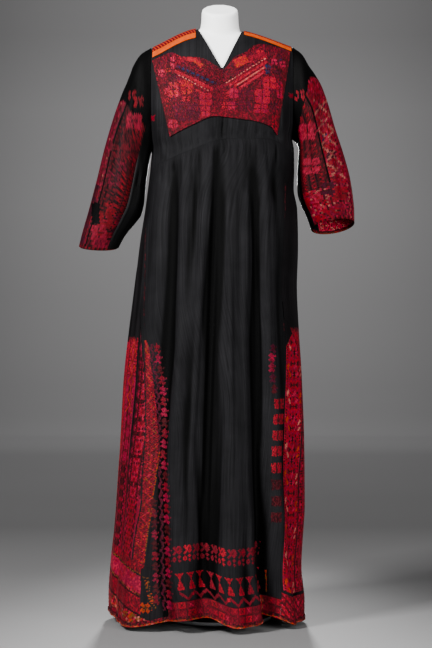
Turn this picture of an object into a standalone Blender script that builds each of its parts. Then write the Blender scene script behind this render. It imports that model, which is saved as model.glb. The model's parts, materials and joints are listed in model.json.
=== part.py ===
"""A Palestinian thobe on a limbless dress form.

The dress is cut as the real one is: a front bodice and a front skirt that meet at a tucked seam, one long
back panel, side panels with a gore let in before each of them, two sleeves of an outer and an under panel,
a chest panel sewn on the bodice, shoulder bands, and bindings round the hem and the cuffs.
Metres, +Z up, the front looks along -Y, and the base of the stand rests on z = 0 round the pole's axis.
"""
import bpy
import bmesh
import math
import numpy as np

OBJECT_NAME = "thobe_on_dress_form"

# Cloth
WALL = 0.0015             # thickness of a cloth panel with its seam allowances
BINDING_WALL = 0.0012     # thickness of a bias binding or a ribbon
SEAM_GAP = 0.0003         # space between neighbours along a seam
LAY_GAP = 0.0006          # space under a piece that lies on a panel
ARMHOLE_GAP = 0.0008      # space between a sleeve's head and its armhole
STEP = 1e-4               # step of the differences that give a surface's normal

# Shape of the body of the dress
RING_POWER = 2.3          # how square the rings are, 2 is an ellipse
SHOULDER_ROUND = 0.130    # drop below the shoulder line at which the body reaches its full depth
ARMHOLE = {"left": -0.1632, "right": 0.1764}       # x of each armhole's plane
ARMPIT = {"left": 1.134, "right": 1.160}           # height of each armpit
SHOULDER_HEIGHT = 1.440   # above every point of the shoulder line
HEM_LEVEL = 0.020         # height at which a column's place on the hem is read

# Rings of the body: height, reach to the left, reach to the right, depth in front, depth behind
RINGS = (
    (0.000, -0.2620, 0.2030, 0.232, 0.190),
    (0.060, -0.2625, 0.2040, 0.226, 0.188),
    (0.130, -0.2580, 0.1985, 0.218, 0.184),
    (0.280, -0.2430, 0.2065, 0.202, 0.174),
    (0.440, -0.2350, 0.2045, 0.184, 0.160),
    (0.575, -0.2285, 0.1980, 0.170, 0.148),
    (0.700, -0.2160, 0.1890, 0.158, 0.136),
    (0.800, -0.2030, 0.1855, 0.150, 0.127),
    (0.911, -0.1902, 0.1905, 0.142, 0.118),
    (0.989, -0.1785, 0.1885, 0.137, 0.113),
    (1.040, -0.1720, 0.1800, 0.134, 0.110),
    (1.086, -0.1665, 0.1815, 0.131, 0.107),
    (1.134, -0.1632, 0.1805, 0.128, 0.104),
    (1.160, -0.1700, 0.1764, 0.125, 0.103),
    (1.200, -0.1795, 0.1850, 0.122, 0.102),
    (1.250, -0.1890, 0.1950, 0.114, 0.099),
    (1.340, -0.1920, 0.1990, 0.098, 0.094),
    (1.430, -0.1880, 0.1950, 0.085, 0.088),
)

# Shoulder line: x, height
SHOULDERS = ((-0.200, 1.3640), (-0.1632, 1.3795), (-0.053, 1.4260), (0.000, 1.4300),
             (0.056, 1.4210), (0.1764, 1.3810), (0.200, 1.3720))

# Folds that hang in the skirt, read at four heights. Angles in degrees from the middle of the front
# (90 is the right side, 180 the back), depths in millimetres, out from the ring or, negative, into it.
FOLD_HEIGHTS = (0.020, 0.400, 0.800, 1.150)
# name, half width, angle at each height from the hem up, depth at each height from the hem up
FOLDS = (
    ("left_trough", 11, (-22, -31, -30, -41), (-26, -8, -5, -1)),
    ("left_ridge", 9, (-12, -21, -12, -6), (3, 9, 6, 0)),
    ("middle_trough", 9, (0, -2, 0, 0), (-36, -14, -9, -1)),
    ("middle_ridge", 9, (14, 10, 7, 3), (14, 9, 6, 0)),
    ("deep_fold", 9.5, (39, 27, 26, 15), (-52, -27, -13, -1)),
    ("right_ridge", 8, (54, 40, 40, 31), (14, 7, 5, 0)),
    ("left_front_lobe", 15, (-46, -44, -46, -58), (15, 8, 4, 0)),
    ("left_side_trough", 11, (-72, -70, -72, -75), (-8, -7, -4, 0)),
    ("left_back_lobe", 14, (-98, -96, -96, -95), (9, 6, 3, 0)),
    ("left_back_trough", 10, (-122, -120, -120, -118), (-26, -16, -8, 0)),
    ("right_side_lobe", 12, (74, 70, 70, 70), (6, 5, 3, 0)),
    ("right_side_trough", 10, (97, 96, 95, 95), (-14, -10, -5, 0)),
    ("right_back_lobe", 12, (117, 116, 114, 112), (12, 7, 4, 0)),
    ("back_right_trough", 10, (138, 138, 140, 142), (-30, -18, -9, 0)),
    ("back_right_lobe", 11, (157, 157, 157, 157), (13, 8, 4, 0)),
    ("back_middle_trough", 9, (177, 176, 176, 176), (-24, -14, -8, 0)),
    ("back_left_lobe", 11, (-163, -164, -164, -163), (13, 8, 4, 0)),
    ("back_left_trough", 9, (-144, -143, -143, -142), (-18, -12, -6, 0)),
)

# Height of the hem round the dress: angle, height
HEM = ((-180, 0.012), (-140, 0.014), (-110, 0.012), (-88, 0.018), (-62, 0.012), (-45, 0.009),
       (-22, 0.024), (0, 0.033), (14, 0.014), (26, 0.016), (39, 0.034), (56, 0.009),
       (80, 0.010), (97, 0.014), (117, 0.010), (140, 0.015), (180, 0.012))

# Seams: height, angle
FRONT_SEAM = {
    "left": ((0.050, -25), (0.157, -30), (0.285, -32.5), (0.419, -33), (0.530, -37), (0.663, -52),
             (0.777, -64), (0.873, -69), (1.004, -78), (1.160, -78)),
    "right": ((0.050, 46), (0.200, 44), (0.340, 43.5), (0.470, 46), (0.580, 50), (0.690, 53.5),
              (0.800, 51), (0.900, 50), (1.000, 55), (1.060, 64), (1.100, 73), (1.130, 76), (1.160, 76)),
}
BACK_SEAM = {
    "left": ((0.050, -131), (0.500, -126), (1.000, -108), (1.160, -102)),
    "right": ((0.050, 131), (0.500, 126), (1.000, 108), (1.160, 103)),
}
# Width of the gore in front of each side panel: share of the way up to the tucked seam, degrees
GORE_WIDTH = {
    "left": ((0.05, 38.5), (0.14, 35), (0.22, 34), (0.32, 32), (0.46, 22), (0.571, 9), (0.643, 0.6)),
    "right": ((0.05, 36.5), (0.14, 38), (0.32, 38), (0.46, 35), (0.571, 20), (0.643, 0.8)),
}
GORE_ROWS = 9             # rows of the skirt up to the gores' points
SKIRT_ROWS = 14           # rows of the skirt up to the tucked seam
BINDING_ROW = 0.0102      # share of the way up at which the panels have a row behind the hem's binding
BODICE_ROWS = (0.0, 0.04, 0.08, 0.13, 0.19, 0.27, 0.36, 0.46, 0.57, 0.68, 0.78, 0.87, 0.94, 1.0)

# Tucked seam between the front bodice and the front skirt: x, height
TUCK_SEAM = ((-0.165, 1.0850), (-0.1063, 1.1094), (-0.0683, 1.1227), (-0.0024, 1.1459),
             (0.0635, 1.1510), (0.1206, 1.1500), (0.175, 1.1250))

# Neck of the dress
NECK_LEFT = -0.0530       # x of the neck's corners on the shoulder line
NECK_RIGHT = 0.0560
NECK_POINT_X = 0.0068     # point of the V in front
NECK_POINT_Z = 1.3175
BACK_NECK_DROP = 0.042    # depth of the scoop behind

# Chest panel: x, height of its lower and of its upper edge
CHEST_LOWER = ((-0.117, 1.1565), (-0.062, 1.1830), (-0.0099, 1.2022), (0.0297, 1.1982),
               (0.0803, 1.1922), (0.1195, 1.1805), (0.136, 1.1600))
CHEST_UPPER = ((-0.160, 1.3440), (-0.1117, 1.3600), (-0.090, 1.3480), (-0.045, 1.3440), (-0.0048, 1.3220),
               (0.0068, 1.3150), (0.018, 1.3220), (0.035, 1.3450), (0.064, 1.3600), (0.081, 1.3755),
               (0.1025, 1.3820), (0.1455, 1.3740), (0.170, 1.3660))

CHEST_COLUMNS = 24
CHEST_ROWS = (0, 0.16, 0.32, 0.47, 0.61, 0.74, 0.85, 0.93, 1)
CHEST_LAY_GAP = 0.00095    # space under the chest panel

# Bands along each shoulder: inner and outer x, and drops below the shoulder line
YOKES = {
    "left": {"x": (-0.1600, -0.0565), "stripes_front": 0.014, "stripes_back": 0.030, "ribbon": 0.029},
    "right": {"x": (0.0595, 0.1730), "stripes_front": 0.0045, "stripes_back": 0.034, "ribbon": 0.0135},
}
BAND_GAP = 0.0006         # drop between the striped band and the ribbon

# Sleeves, section by section from the armhole to the cuff: place, inner x and z, outer x and z,
# depth in front and behind, lift of the front edge over the back edge
SLEEVES = {
    "left": (
        (0.0, -0.1635, 1.1340, -0.1635, 1.3795, 0.064, 0.060, 0.000),
        (1.0, -0.1685, 1.1180, -0.1880, 1.3640, 0.071, 0.066, 0.000),
        (2.0, -0.1720, 1.1000, -0.2045, 1.3400, 0.072, 0.067, 0.000),
        (3.0, -0.1750, 1.0780, -0.2180, 1.3080, 0.069, 0.065, 0.000),
        (4.0, -0.1785, 1.0550, -0.2357, 1.2640, 0.066, 0.062, 0.000),
        (5.0, -0.1815, 1.0300, -0.2540, 1.2130, 0.061, 0.058, 0.000),
        (6.0, -0.1840, 1.0050, -0.2755, 1.1400, 0.059, 0.057, 0.000),
        (7.0, -0.1900, 0.9780, -0.2965, 1.0550, 0.056, 0.055, 0.000),
        (8.0, -0.2065, 0.9550, -0.3140, 0.9890, 0.050, 0.050, -0.002),
        (9.0, -0.2290, 0.9270, -0.3310, 0.9300, 0.042, 0.042, -0.005),
        (10.0, -0.2460, 0.8960, -0.3385, 0.9000, 0.035, 0.035, -0.009),
    ),
    "right": (
        (0.0, 0.1767, 1.1600, 0.1767, 1.3810, 0.064, 0.060, 0.000),
        (1.0, 0.1890, 1.1500, 0.1985, 1.3640, 0.071, 0.066, 0.000),
        (2.0, 0.1935, 1.1360, 0.2160, 1.3350, 0.072, 0.067, 0.000),
        (3.0, 0.1925, 1.1180, 0.2390, 1.3030, 0.070, 0.065, 0.000),
        (4.0, 0.1910, 1.0970, 0.2585, 1.2540, 0.067, 0.062, 0.000),
        (5.0, 0.1900, 1.0750, 0.2795, 1.1830, 0.063, 0.060, 0.000),
        (6.0, 0.1905, 1.0520, 0.2995, 1.1220, 0.061, 0.059, 0.000),
        (7.0, 0.1925, 1.0290, 0.3145, 1.0660, 0.058, 0.057, 0.002),
        (8.0, 0.1990, 1.0030, 0.3220, 1.0180, 0.053, 0.053, 0.005),
        (9.0, 0.2130, 0.9730, 0.3250, 0.9860, 0.046, 0.046, 0.010),
        (10.0, 0.2240, 0.9420, 0.3255, 0.9560, 0.038, 0.038, 0.016),
    ),
}
SLEEVE_POWER = 2.2        # how square the sleeves' sections are
SLEEVE_BLEND = 1.6        # section by which the armhole's shape has turned into the sleeve's
# Angles round the sleeve (0 outer line, 90 front, 180 inner line) of the under panel's two seams
UNDER_PANEL = {"left": (117.0, 245.0), "right": (150.0, 235.0)}
# Creases along the sleeves: angle, half width, and depths in millimetres at sections 2, 5, 8 and 10
SLEEVE_CREASE_PLACES = (2.0, 5.0, 8.0, 10.0)
SLEEVE_CREASES = {
    "left": ((62, 26, (-2, -5, -3, 0)), (122, 24, (-1, -6, -5, 0)), (250, 30, (-2, -6, -4, 0))),
    "right": ((55, 24, (-1, -4, -3, 0)), (112, 22, (-1, -5, -4, 0)), (248, 30, (-2, -6, -4, 0))),
}
CUFF_BINDING = 9.78       # place along the sleeve where the cuff's binding begins
HEM_BINDING = 0.011       # height of the hem's binding
HEM_LAY_GAP = 0.0010      # space under it, enough to clear the deep folds

# Dress form
FORM_RINGS = (            # height, reach to the left, reach to the right, depth in front, depth behind
    (0.880, -0.118, 0.132, 0.092, 0.086),
    (0.980, -0.116, 0.130, 0.092, 0.082),
    (1.100, -0.126, 0.140, 0.104, 0.084),
    (1.200, -0.140, 0.154, 0.109, 0.086),
    (1.300, -0.148, 0.162, 0.096, 0.082),
    (1.430, -0.146, 0.160, 0.070, 0.068),
)
FORM_SEAT_GAP = 0.0005    # between the form's shoulders and the cloth
FORM_NECK_DIP = 0.006     # how much lower the shoulders lie at the foot of the neck
FORM_NECK_DIP_REACH = 0.090
NECK_AXIS = (0.0015, 0.004)
# Rings of the neck: height, half width, half depth
NECK_RINGS = ((1.330, 0.0470, 0.0400), (1.395, 0.0510, 0.0415), (1.415, 0.0490, 0.0420),
              (1.440, 0.0455, 0.0430), (1.470, 0.0440, 0.0440))
NECK_TOP = 1.4755         # middle of the neck's slanted top
NECK_SLANT = 0.46         # rise of that top from front to back, per metre
NECK_TOP_STEP = 0.008     # least distance of the last ring below that top
NECK_SIDES = 32
POLE_RADIUS = 0.0125
BASE_RADIUS = 0.125
BASE_THICKNESS = 0.012
BASE_EDGE = 0.0025

# Colours (linear RGB) and roughness
CLOTH_BLACK = ((0.012, 0.011, 0.014, 1), 0.75)
CLOTH_RED = ((0.240, 0.012, 0.028, 1), 0.80)
CLOTH_CHEST = ((0.160, 0.014, 0.022, 1), 0.80)
CLOTH_STRIPES = ((0.450, 0.050, 0.020, 1), 0.60)
RIBBON_ORANGE = ((0.800, 0.230, 0.015, 1), 0.45)
BINDING_GOLD = ((0.500, 0.120, 0.030, 1), 0.60)
FORM_WHITE = ((0.800, 0.790, 0.770, 1), 0.55)
STAND_STEEL = ((0.350, 0.350, 0.360, 1), 0.35)


def along(rows, column, at):
    """Read a table's column between its rows: a smooth curve that never swings past them."""
    table = np.array([[row[0], row[column]] for row in rows], dtype=float)
    keys, values = table[:, 0], table[:, 1]
    rise = np.diff(values) / np.diff(keys)
    product = rise[:-1] * rise[1:]
    total = np.where(np.abs(rise[:-1] + rise[1:]) > 1e-12, rise[:-1] + rise[1:], 1.0)
    slope = np.concatenate(([rise[0]], np.where(product > 0, 2 * product / total, 0.0), [rise[-1]]))
    at = np.clip(at, keys[0], keys[-1])
    row = np.clip(np.searchsorted(keys, at, side="right") - 1, 0, len(keys) - 2)
    span = keys[row + 1] - keys[row]
    t = (at - keys[row]) / span
    start = (1 + 2 * t) * (1 - t) ** 2 * values[row] + t * (1 - t) ** 2 * span * slope[row]
    end = t ** 2 * (3 - 2 * t) * values[row + 1] + t ** 2 * (t - 1) * span * slope[row + 1]
    return start + end


def signed_power(value, power):
    return np.sign(value) * np.abs(value) ** power


def bump(distance):
    """1 at nought, falling to nothing at 1."""
    return np.where(np.abs(distance) < 1, 0.5 + 0.5 * np.cos(math.pi * np.clip(distance, -1, 1)), 0.0)


def turn_between(angle, centre):
    """Signed difference of two angles, between -180 and 180 degrees."""
    return (angle - centre + 180.0) % 360.0 - 180.0


# ---------------------------------------------------------------- surface of the body

def folds(angle, height):
    """How far the hanging folds push the cloth out from its ring."""
    push = np.zeros(np.broadcast(angle, height).shape)
    for _, half_width, angles, depths in FOLDS:
        rows = tuple(zip(FOLD_HEIGHTS, angles, depths))
        distance = turn_between(angle, along(rows, 1, height)) / half_width
        push = push + along(rows, 2, height) * 0.001 * bump(distance)
    return push


def body(angle, height):
    """Point on the outside of the dress's body, by angle round it and height."""
    left, right, front, back = (along(RINGS, column, height) for column in (1, 2, 3, 4))
    sine = np.sin(np.radians(angle))
    cosine = np.cos(np.radians(angle))
    push = folds(angle, height)
    x = (left + right) / 2 + (right - left) / 2 * signed_power(sine, 2 / RING_POWER) + push * sine
    y = -np.where(cosine > 0, front, back) * signed_power(cosine, 2 / RING_POWER) - push * cosine
    drop = np.clip((along(SHOULDERS, 1, x) - height) / SHOULDER_ROUND, 0, 1)
    y = y * np.sqrt(1 - (1 - drop) ** 2)
    return np.stack(np.broadcast_arrays(x, y, height), axis=-1)


def ring_x(angle, height):
    """x of the unfolded ring at this angle and height."""
    left, right = along(RINGS, 1, height), along(RINGS, 2, height)
    return (left + right) / 2 + (right - left) / 2 * signed_power(np.sin(np.radians(angle)), 2 / RING_POWER)


def angle_of(x, height):
    """Angle on the front half of the unfolded ring at this height where it has this x."""
    left, right = along(RINGS, 1, height), along(RINGS, 2, height)
    share = np.clip((x - (left + right) / 2) / ((right - left) / 2), -1, 1)
    return np.degrees(np.arcsin(np.clip(signed_power(share, RING_POWER / 2), -1, 1)))


def armhole_angle(side, height):
    """Angle from the front at which the armhole cuts the body, a quarter turn under the armpit."""
    edge = np.abs(angle_of(ARMHOLE[side], height))
    return np.where(np.asarray(height) < ARMPIT[side], 90.0, edge)


def front_edge_angles(height):
    """Angles of the front's left and right edges: the front seams, then the armholes."""
    left = np.maximum(along(FRONT_SEAM["left"], 1, height), -armhole_angle("left", height))
    right = np.minimum(along(FRONT_SEAM["right"], 1, height), armhole_angle("right", height))
    return left, right


def neckline(x):
    """Height of the top edge of the front: the shoulder line, and the V between its corners."""
    half = np.where(x < NECK_POINT_X, NECK_POINT_X - NECK_LEFT, NECK_RIGHT - NECK_POINT_X)
    share = np.clip(np.abs(x - NECK_POINT_X) / half, 0, 1)
    shoulder = along(SHOULDERS, 1, x)
    return NECK_POINT_Z + (shoulder - NECK_POINT_Z) * share ** 1.1


def front_place(across, up):
    """x on the unfolded ring and height of a point of the front bodice."""
    x = ARMHOLE["left"] + across * (ARMHOLE["right"] - ARMHOLE["left"])
    for _ in range(6):
        seam = along(TUCK_SEAM, 1, x)
        height = seam + (neckline(x) - seam) * (1 - (1 - up) ** 2)
        left_angle, right_angle = front_edge_angles(height)
        left_x = ring_x(left_angle, height)
        right_x = ring_x(right_angle, height)
        x = left_x + across * (right_x - left_x)
    return x, height


def front_bodice(across, up):
    """The front above the tucked seam: across from left to right, up from the seam to the top."""
    return on_front(*front_place(across, up))


def on_front(x, height):
    """Point of the front at this x and height, seen from the front."""
    return body(angle_of(x, height), height)


def hem_height(angle):
    return along(HEM, 1, turn_between(angle, 0.0))


def front_skirt(across, up):
    """The front below the tucked seam, in the bodice's own columns."""
    top_x, top_height = front_place(across, np.zeros_like(across))
    left_top, right_top = front_edge_angles(top_height)
    share = (angle_of(top_x, top_height) - left_top) / (right_top - left_top)

    def angle_at(height):
        left_angle = along(FRONT_SEAM["left"], 1, height)
        return left_angle + share * (along(FRONT_SEAM["right"], 1, height) - left_angle)

    hem = hem_height(angle_at(HEM_LEVEL))
    height = hem + (top_height - hem) * up
    return body(angle_at(height), height)


SIDE_TOP = {side: float(front_bodice(np.array([end]), np.array([0.0]))[0, 2])
            for side, end in (("left", 0.0), ("right", 1.0))}


def armhole_height(side, angle):
    """Height of the armhole's lower edge over the side panel at this angle."""
    heights = np.linspace(ARMPIT[side], ARMPIT[side] + 0.06, 61)
    edge = np.abs(angle_of(ARMHOLE[side], heights))
    from_front = 90.0 - np.abs(90.0 - np.abs(angle))
    return np.interp(-from_front, -edge, heights)


def gore_width(side, up):
    """Degrees between the front seam and the side panel, nothing above the gore's point."""
    width = along(GORE_WIDTH[side], 1, up)
    return np.where(up > (GORE_ROWS + 0.5) / SKIRT_ROWS, 0.0, width)


def side_height(side, edge_angle, up):
    """Height of a row of the side pieces: 0 the hem, 1 level with the tucked seam, 2 the armhole."""
    hem = hem_height(edge_angle(HEM_LEVEL, 0.0))
    low = hem + (SIDE_TOP[side] - hem) * np.minimum(up, 1)
    arm = armhole_height(side, edge_angle(SIDE_TOP[side], 1.0))
    return low + (arm - SIDE_TOP[side]) * np.maximum(up - 1, 0)


def gore(side, across, up):
    """The pointed gore behind the front seam."""
    outward = -1.0 if side == "left" else 1.0

    def angle_at(height, row):
        return along(FRONT_SEAM[side], 1, height) + outward * across * gore_width(side, row)

    height = side_height(side, angle_at, up)
    return body(angle_at(height, up), height)


def side_panel(side, across, up):
    """The panel round the side, from the gore to the back seam."""
    outward = -1.0 if side == "left" else 1.0

    def angle_at(height, row):
        front_edge = along(FRONT_SEAM[side], 1, height) + outward * gore_width(side, row)
        return front_edge + across * (along(BACK_SEAM[side], 1, height) - front_edge)

    height = side_height(side, angle_at, up)
    return body(angle_at(height, up), height)


def back_panel(across, up):
    """The long back: across from the right side to the left, up 0 to 1 the skirt, 1 to 2 the bodice."""
    def angle_at(height):
        right = np.maximum(along(BACK_SEAM["right"], 1, height), 180.0 - armhole_angle("right", height))
        left = np.minimum(along(BACK_SEAM["left"], 1, height) + 360.0, 180.0 + armhole_angle("left", height))
        return right + across * (left - right)

    side_top = SIDE_TOP["right"] + across * (SIDE_TOP["left"] - SIDE_TOP["right"])
    hem = hem_height(angle_at(np.full_like(across, HEM_LEVEL)))
    top = np.full_like(across, SHOULDER_HEIGHT)
    for _ in range(12):
        x = body(angle_at(top), top)[..., 0]
        top = along(SHOULDERS, 1, x) - back_neck_drop(x)
    low = hem + (side_top - hem) * np.minimum(up, 1)
    height = low + (top - side_top) * (1 - (1 - np.maximum(up - 1, 0)) ** 2)
    return body(angle_at(height), height)


def back_neck_drop(x):
    """How far the back's top edge lies under the shoulder line: a round scoop at the neck."""
    middle = (NECK_LEFT + NECK_RIGHT) / 2
    share = np.clip(np.abs(x - middle) / ((NECK_RIGHT - NECK_LEFT) / 2), 0, 1)
    return BACK_NECK_DROP * (1 - share ** 2) ** 1.7


# ---------------------------------------------------------------- surface of the sleeves

def armhole(side, angle):
    """Point of the armhole's edge, by the angle round the sleeve."""
    x = ARMHOLE[side] + ARMHOLE_GAP * (-1 if side == "left" else 1)
    top = along(SHOULDERS, 1, ARMHOLE[side])
    middle, half = (top + ARMPIT[side]) / 2, (top - ARMPIT[side]) / 2
    height = middle + half * np.cos(np.radians(angle))
    front = angle_of(ARMHOLE[side], height)
    in_front = np.sin(np.radians(angle)) >= 0
    edge = body(np.where(in_front, front, 180.0 - front), height)
    return np.stack(np.broadcast_arrays(x, edge[..., 1], height), axis=-1)


def sleeve(side, angle, place):
    """Point on the outside of a sleeve, by the angle round it and the place along it."""
    share = np.clip(place / SLEEVE_BLEND, 0, 1)[..., None]
    head = armhole(side, angle) - hanging_sleeve(side, angle, np.zeros_like(place))
    return hanging_sleeve(side, angle, place) + head * (1 - share * share * (3 - 2 * share))


def hanging_sleeve(side, angle, place):
    """Point on the outside of a sleeve's own sections, before its head is fitted to the armhole."""
    rows = SLEEVES[side]
    inner_x, inner_z, outer_x, outer_z, front, back, lift = (along(rows, k, place) for k in range(1, 8))
    cosine = np.cos(np.radians(angle))
    sine = np.sin(np.radians(angle))
    squared = signed_power(sine, 2 / SLEEVE_POWER)
    push = np.zeros(np.broadcast(angle, place).shape)
    for centre, half_width, depths in SLEEVE_CREASES[side]:
        depth = along(tuple(zip(SLEEVE_CREASE_PLACES, depths)), 1, place) * 0.001
        push = push + depth * bump(turn_between(angle, centre) / half_width)
    reach = np.hypot(outer_x - inner_x, outer_z - inner_z) / 2
    x = (inner_x + outer_x) / 2 + (outer_x - inner_x) / 2 * cosine * (1 + push / reach)
    y = -(np.where(sine > 0, front, back) + push) * squared
    z = (inner_z + outer_z) / 2 + (outer_z - inner_z) / 2 * cosine * (1 + push / reach) + lift * sine
    return np.stack(np.broadcast_arrays(x, y, z), axis=-1)


# ---------------------------------------------------------------- making the pieces

def normal_of(surface, across, up, outward):
    """Unit normals from one-sided steps that stay inside the surface."""
    step_across = np.where(across + STEP > across.max(), -STEP, STEP)
    step_up = np.where(up + STEP > up.max(), -STEP, STEP)
    here = surface(across, up)
    run = (surface(across + step_across, up) - here) / step_across[..., None]
    rise = (surface(across, up + step_up) - here) / step_up[..., None]
    normal = np.cross(run, rise) * outward
    return normal / np.linalg.norm(normal, axis=-1, keepdims=True)


def cloth_material(name, look):
    """A material with a plain colour and roughness."""
    colour, roughness = look
    material = bpy.data.materials.new(name)
    material.use_nodes = True
    shader = material.node_tree.nodes["Principled BSDF"]
    shader.inputs["Base Color"].default_value = colour
    shader.inputs["Roughness"].default_value = roughness
    shader.inputs["Metallic"].default_value = 0.0
    material.diffuse_color = colour
    return material


def new_object(name, points, faces, look, metallic=0.0):
    mesh = bpy.data.meshes.new(name)
    mesh.from_pydata([tuple(point) for point in points], [], faces)
    mesh.shade_smooth()
    mesh.set_sharp_from_angle(angle=math.radians(50))
    material = cloth_material(name + "_material", look)
    material.node_tree.nodes["Principled BSDF"].inputs["Metallic"].default_value = metallic
    mesh.materials.append(material)
    piece = bpy.data.objects.new(name, mesh)
    COLLECTION.objects.link(piece)
    return piece


def cloth(name, surface, columns, rows, look, outward=1, lay_gap=None, wall=WALL, closed=False):
    """A wall of cloth on a surface: a skin of its points, a second one inside it, and rims between.

    Both skins follow the surface's own normals, so that neighbours' rims stay parallel at a seam.
    A piece with a lay_gap is moved out from the points of the panel that it lies on.
    """
    across, up = np.meshgrid(np.asarray(columns, float), np.asarray(rows, float))
    points = surface(across, up)
    normals = normal_of(surface, across, up, outward)
    outer_shift = 0.0 if lay_gap is None else lay_gap + wall
    points = inset(points, closed)
    outer = points + normals * outer_shift
    inner = points + normals * (outer_shift - wall)
    count_up, count_across = across.shape
    skin = count_up * count_across
    grid = np.arange(skin).reshape(count_up, count_across)
    wrapped = np.concatenate([grid, grid[:, :1]], axis=1) if closed else grid
    flat = outer.reshape(-1, 3)
    faces = []
    for row in range(count_up - 1):
        for column in range(wrapped.shape[1] - 1):
            low, low_next = wrapped[row, column], wrapped[row, column + 1]
            high, high_next = wrapped[row + 1, column], wrapped[row + 1, column + 1]
            # Both skins are split along the same, shorter diagonal, so that the wall keeps its thickness.
            rising = np.linalg.norm(flat[high_next] - flat[low])
            falling = np.linalg.norm(flat[high] - flat[low_next])
            halves = ([[low, low_next, high_next], [low, high_next, high]] if rising < falling
                      else [[low, low_next, high], [low_next, high_next, high]])
            for half in halves:
                faces.append(half)
                faces.append([corner + skin for corner in reversed(half)])
    rims = [(wrapped[0], False), (wrapped[-1], True)]
    if not closed:
        rims += [(wrapped[:, -1], False), (wrapped[:, 0], True)]
    for rim, turned in rims:
        for low, high in zip(rim[:-1], rim[1:]):
            # Every rim is split the same way, so that the two rims of a seam stay parallel.
            halves = [[high, low, high + skin], [low, low + skin, high + skin]]
            faces += [list(reversed(half)) for half in halves] if turned else halves
    if outward < 0:
        faces = [list(reversed(face)) for face in faces]
    faces = [[int(corner) for corner in face] for face in faces]
    return new_object(name, np.concatenate([flat, inner.reshape(-1, 3)]), faces, look)


def inset(points, closed):
    """Draw the edges in by half a seam's gap, square to the edge."""
    moved = points.copy()
    pairs = [((0, slice(None)), (1, slice(None))), ((-1, slice(None)), (-2, slice(None)))]
    if not closed:
        pairs += [((slice(None), 0), (slice(None), 1)), ((slice(None), -1), (slice(None), -2))]
    for edge, next_to_it in pairs:
        way = points[next_to_it] - points[edge]
        run = np.gradient(points[edge], axis=0)
        run = run / np.linalg.norm(run, axis=-1, keepdims=True)
        way = way - run * np.sum(way * run, axis=-1, keepdims=True)
        moved[edge] += way / np.linalg.norm(way, axis=-1, keepdims=True) * SEAM_GAP / 2
    return moved


def front_columns():
    """Shares across the front, with a column at each corner of the neck and at the V's point."""
    width = ARMHOLE["right"] - ARMHOLE["left"]
    stops = [ARMHOLE["left"], NECK_LEFT, NECK_POINT_X, NECK_RIGHT, ARMHOLE["right"]]
    shares = [0.0]
    for start, end, count in zip(stops[:-1], stops[1:], (10, 5, 6, 14)):
        shares += list((np.linspace(start, end, count + 1)[1:] - ARMHOLE["left"]) / width)
    return shares


def skirt_rows(count=SKIRT_ROWS):
    """Shares of the way up from the hem, even but for one row close to the hem."""
    return [0.0, BINDING_ROW] + [row / SKIRT_ROWS for row in range(1, count + 1)]


def make_front():
    cloth("front_skirt", front_skirt, front_columns(), skirt_rows(), CLOTH_BLACK)
    cloth("front_bodice", front_bodice, front_columns(), BODICE_ROWS, CLOTH_BLACK)


def chest_surface(across, up):
    low_x = CHEST_LOWER[0][0] + across * (CHEST_LOWER[-1][0] - CHEST_LOWER[0][0])
    high_x = CHEST_UPPER[0][0] + across * (CHEST_UPPER[-1][0] - CHEST_UPPER[0][0])
    low_z, high_z = along(CHEST_LOWER, 1, low_x), along(CHEST_UPPER, 1, high_x)
    return on_front(low_x + up * (high_x - low_x), low_z + up * (high_z - low_z))


def make_chest_panel():
    """The embroidered panel over the chest, with its upper edge cut round the V."""
    width = CHEST_UPPER[-1][0] - CHEST_UPPER[0][0]
    columns = [(row[0] - CHEST_UPPER[0][0]) / width for row in CHEST_UPPER]
    for share in np.linspace(0, 1, CHEST_COLUMNS + 1):
        if min(abs(share - column) for column in columns) > 0.5 / CHEST_COLUMNS:
            columns.append(float(share))
    cloth("chest_panel", chest_surface, sorted(columns), CHEST_ROWS, CLOTH_CHEST, lay_gap=CHEST_LAY_GAP)


def back_columns():
    """Shares across the back, with a column at each corner of the neck."""
    shares = np.linspace(0, 1, 401)
    top_x = back_panel(shares, np.full_like(shares, 2.0))[..., 0]
    right, left = np.interp((-NECK_RIGHT, -NECK_LEFT), -top_x, shares)
    stops = (0.0, right, left, 1.0)
    columns = [np.linspace(start, end, count + 1)[1:]
               for start, end, count in zip(stops[:-1], stops[1:], (6, 10, 6))]
    return np.concatenate([[0.0]] + columns)


def make_back():
    rows = skirt_rows() + [1 + row for row in BODICE_ROWS[1:]]
    cloth("back_panel", back_panel, back_columns(), rows, CLOTH_BLACK)


def side_rows(side):
    """Rows of a side panel, above the tucked seam level with the bodice's own rows."""
    corner = float(armhole_height(side, along(FRONT_SEAM[side], 1, ARMPIT[side])))
    shoulder = float(along(SHOULDERS, 1, ARMHOLE[side]))
    rise = [1 - (1 - row) ** 2 for row in BODICE_ROWS[1:]]
    shares = [share * (shoulder - SIDE_TOP[side]) / (corner - SIDE_TOP[side]) for share in rise]
    return skirt_rows() + [1 + share for share in shares if share < 0.95] + [2.0]


def make_sides():
    """The gore and the side panel of each side."""
    for side, outward in (("left", -1), ("right", 1)):
        cloth("gore_" + side, lambda u, v: gore(side, u, v), np.linspace(0, 1, 6),
              skirt_rows(GORE_ROWS), CLOTH_RED, outward)
        cloth("side_panel_" + side, lambda u, v: side_panel(side, u, v), np.linspace(0, 1, 11),
              side_rows(side), CLOTH_RED, outward)


def sleeve_columns(start, end, count):
    return np.linspace(start, end, count + 1)


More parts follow.
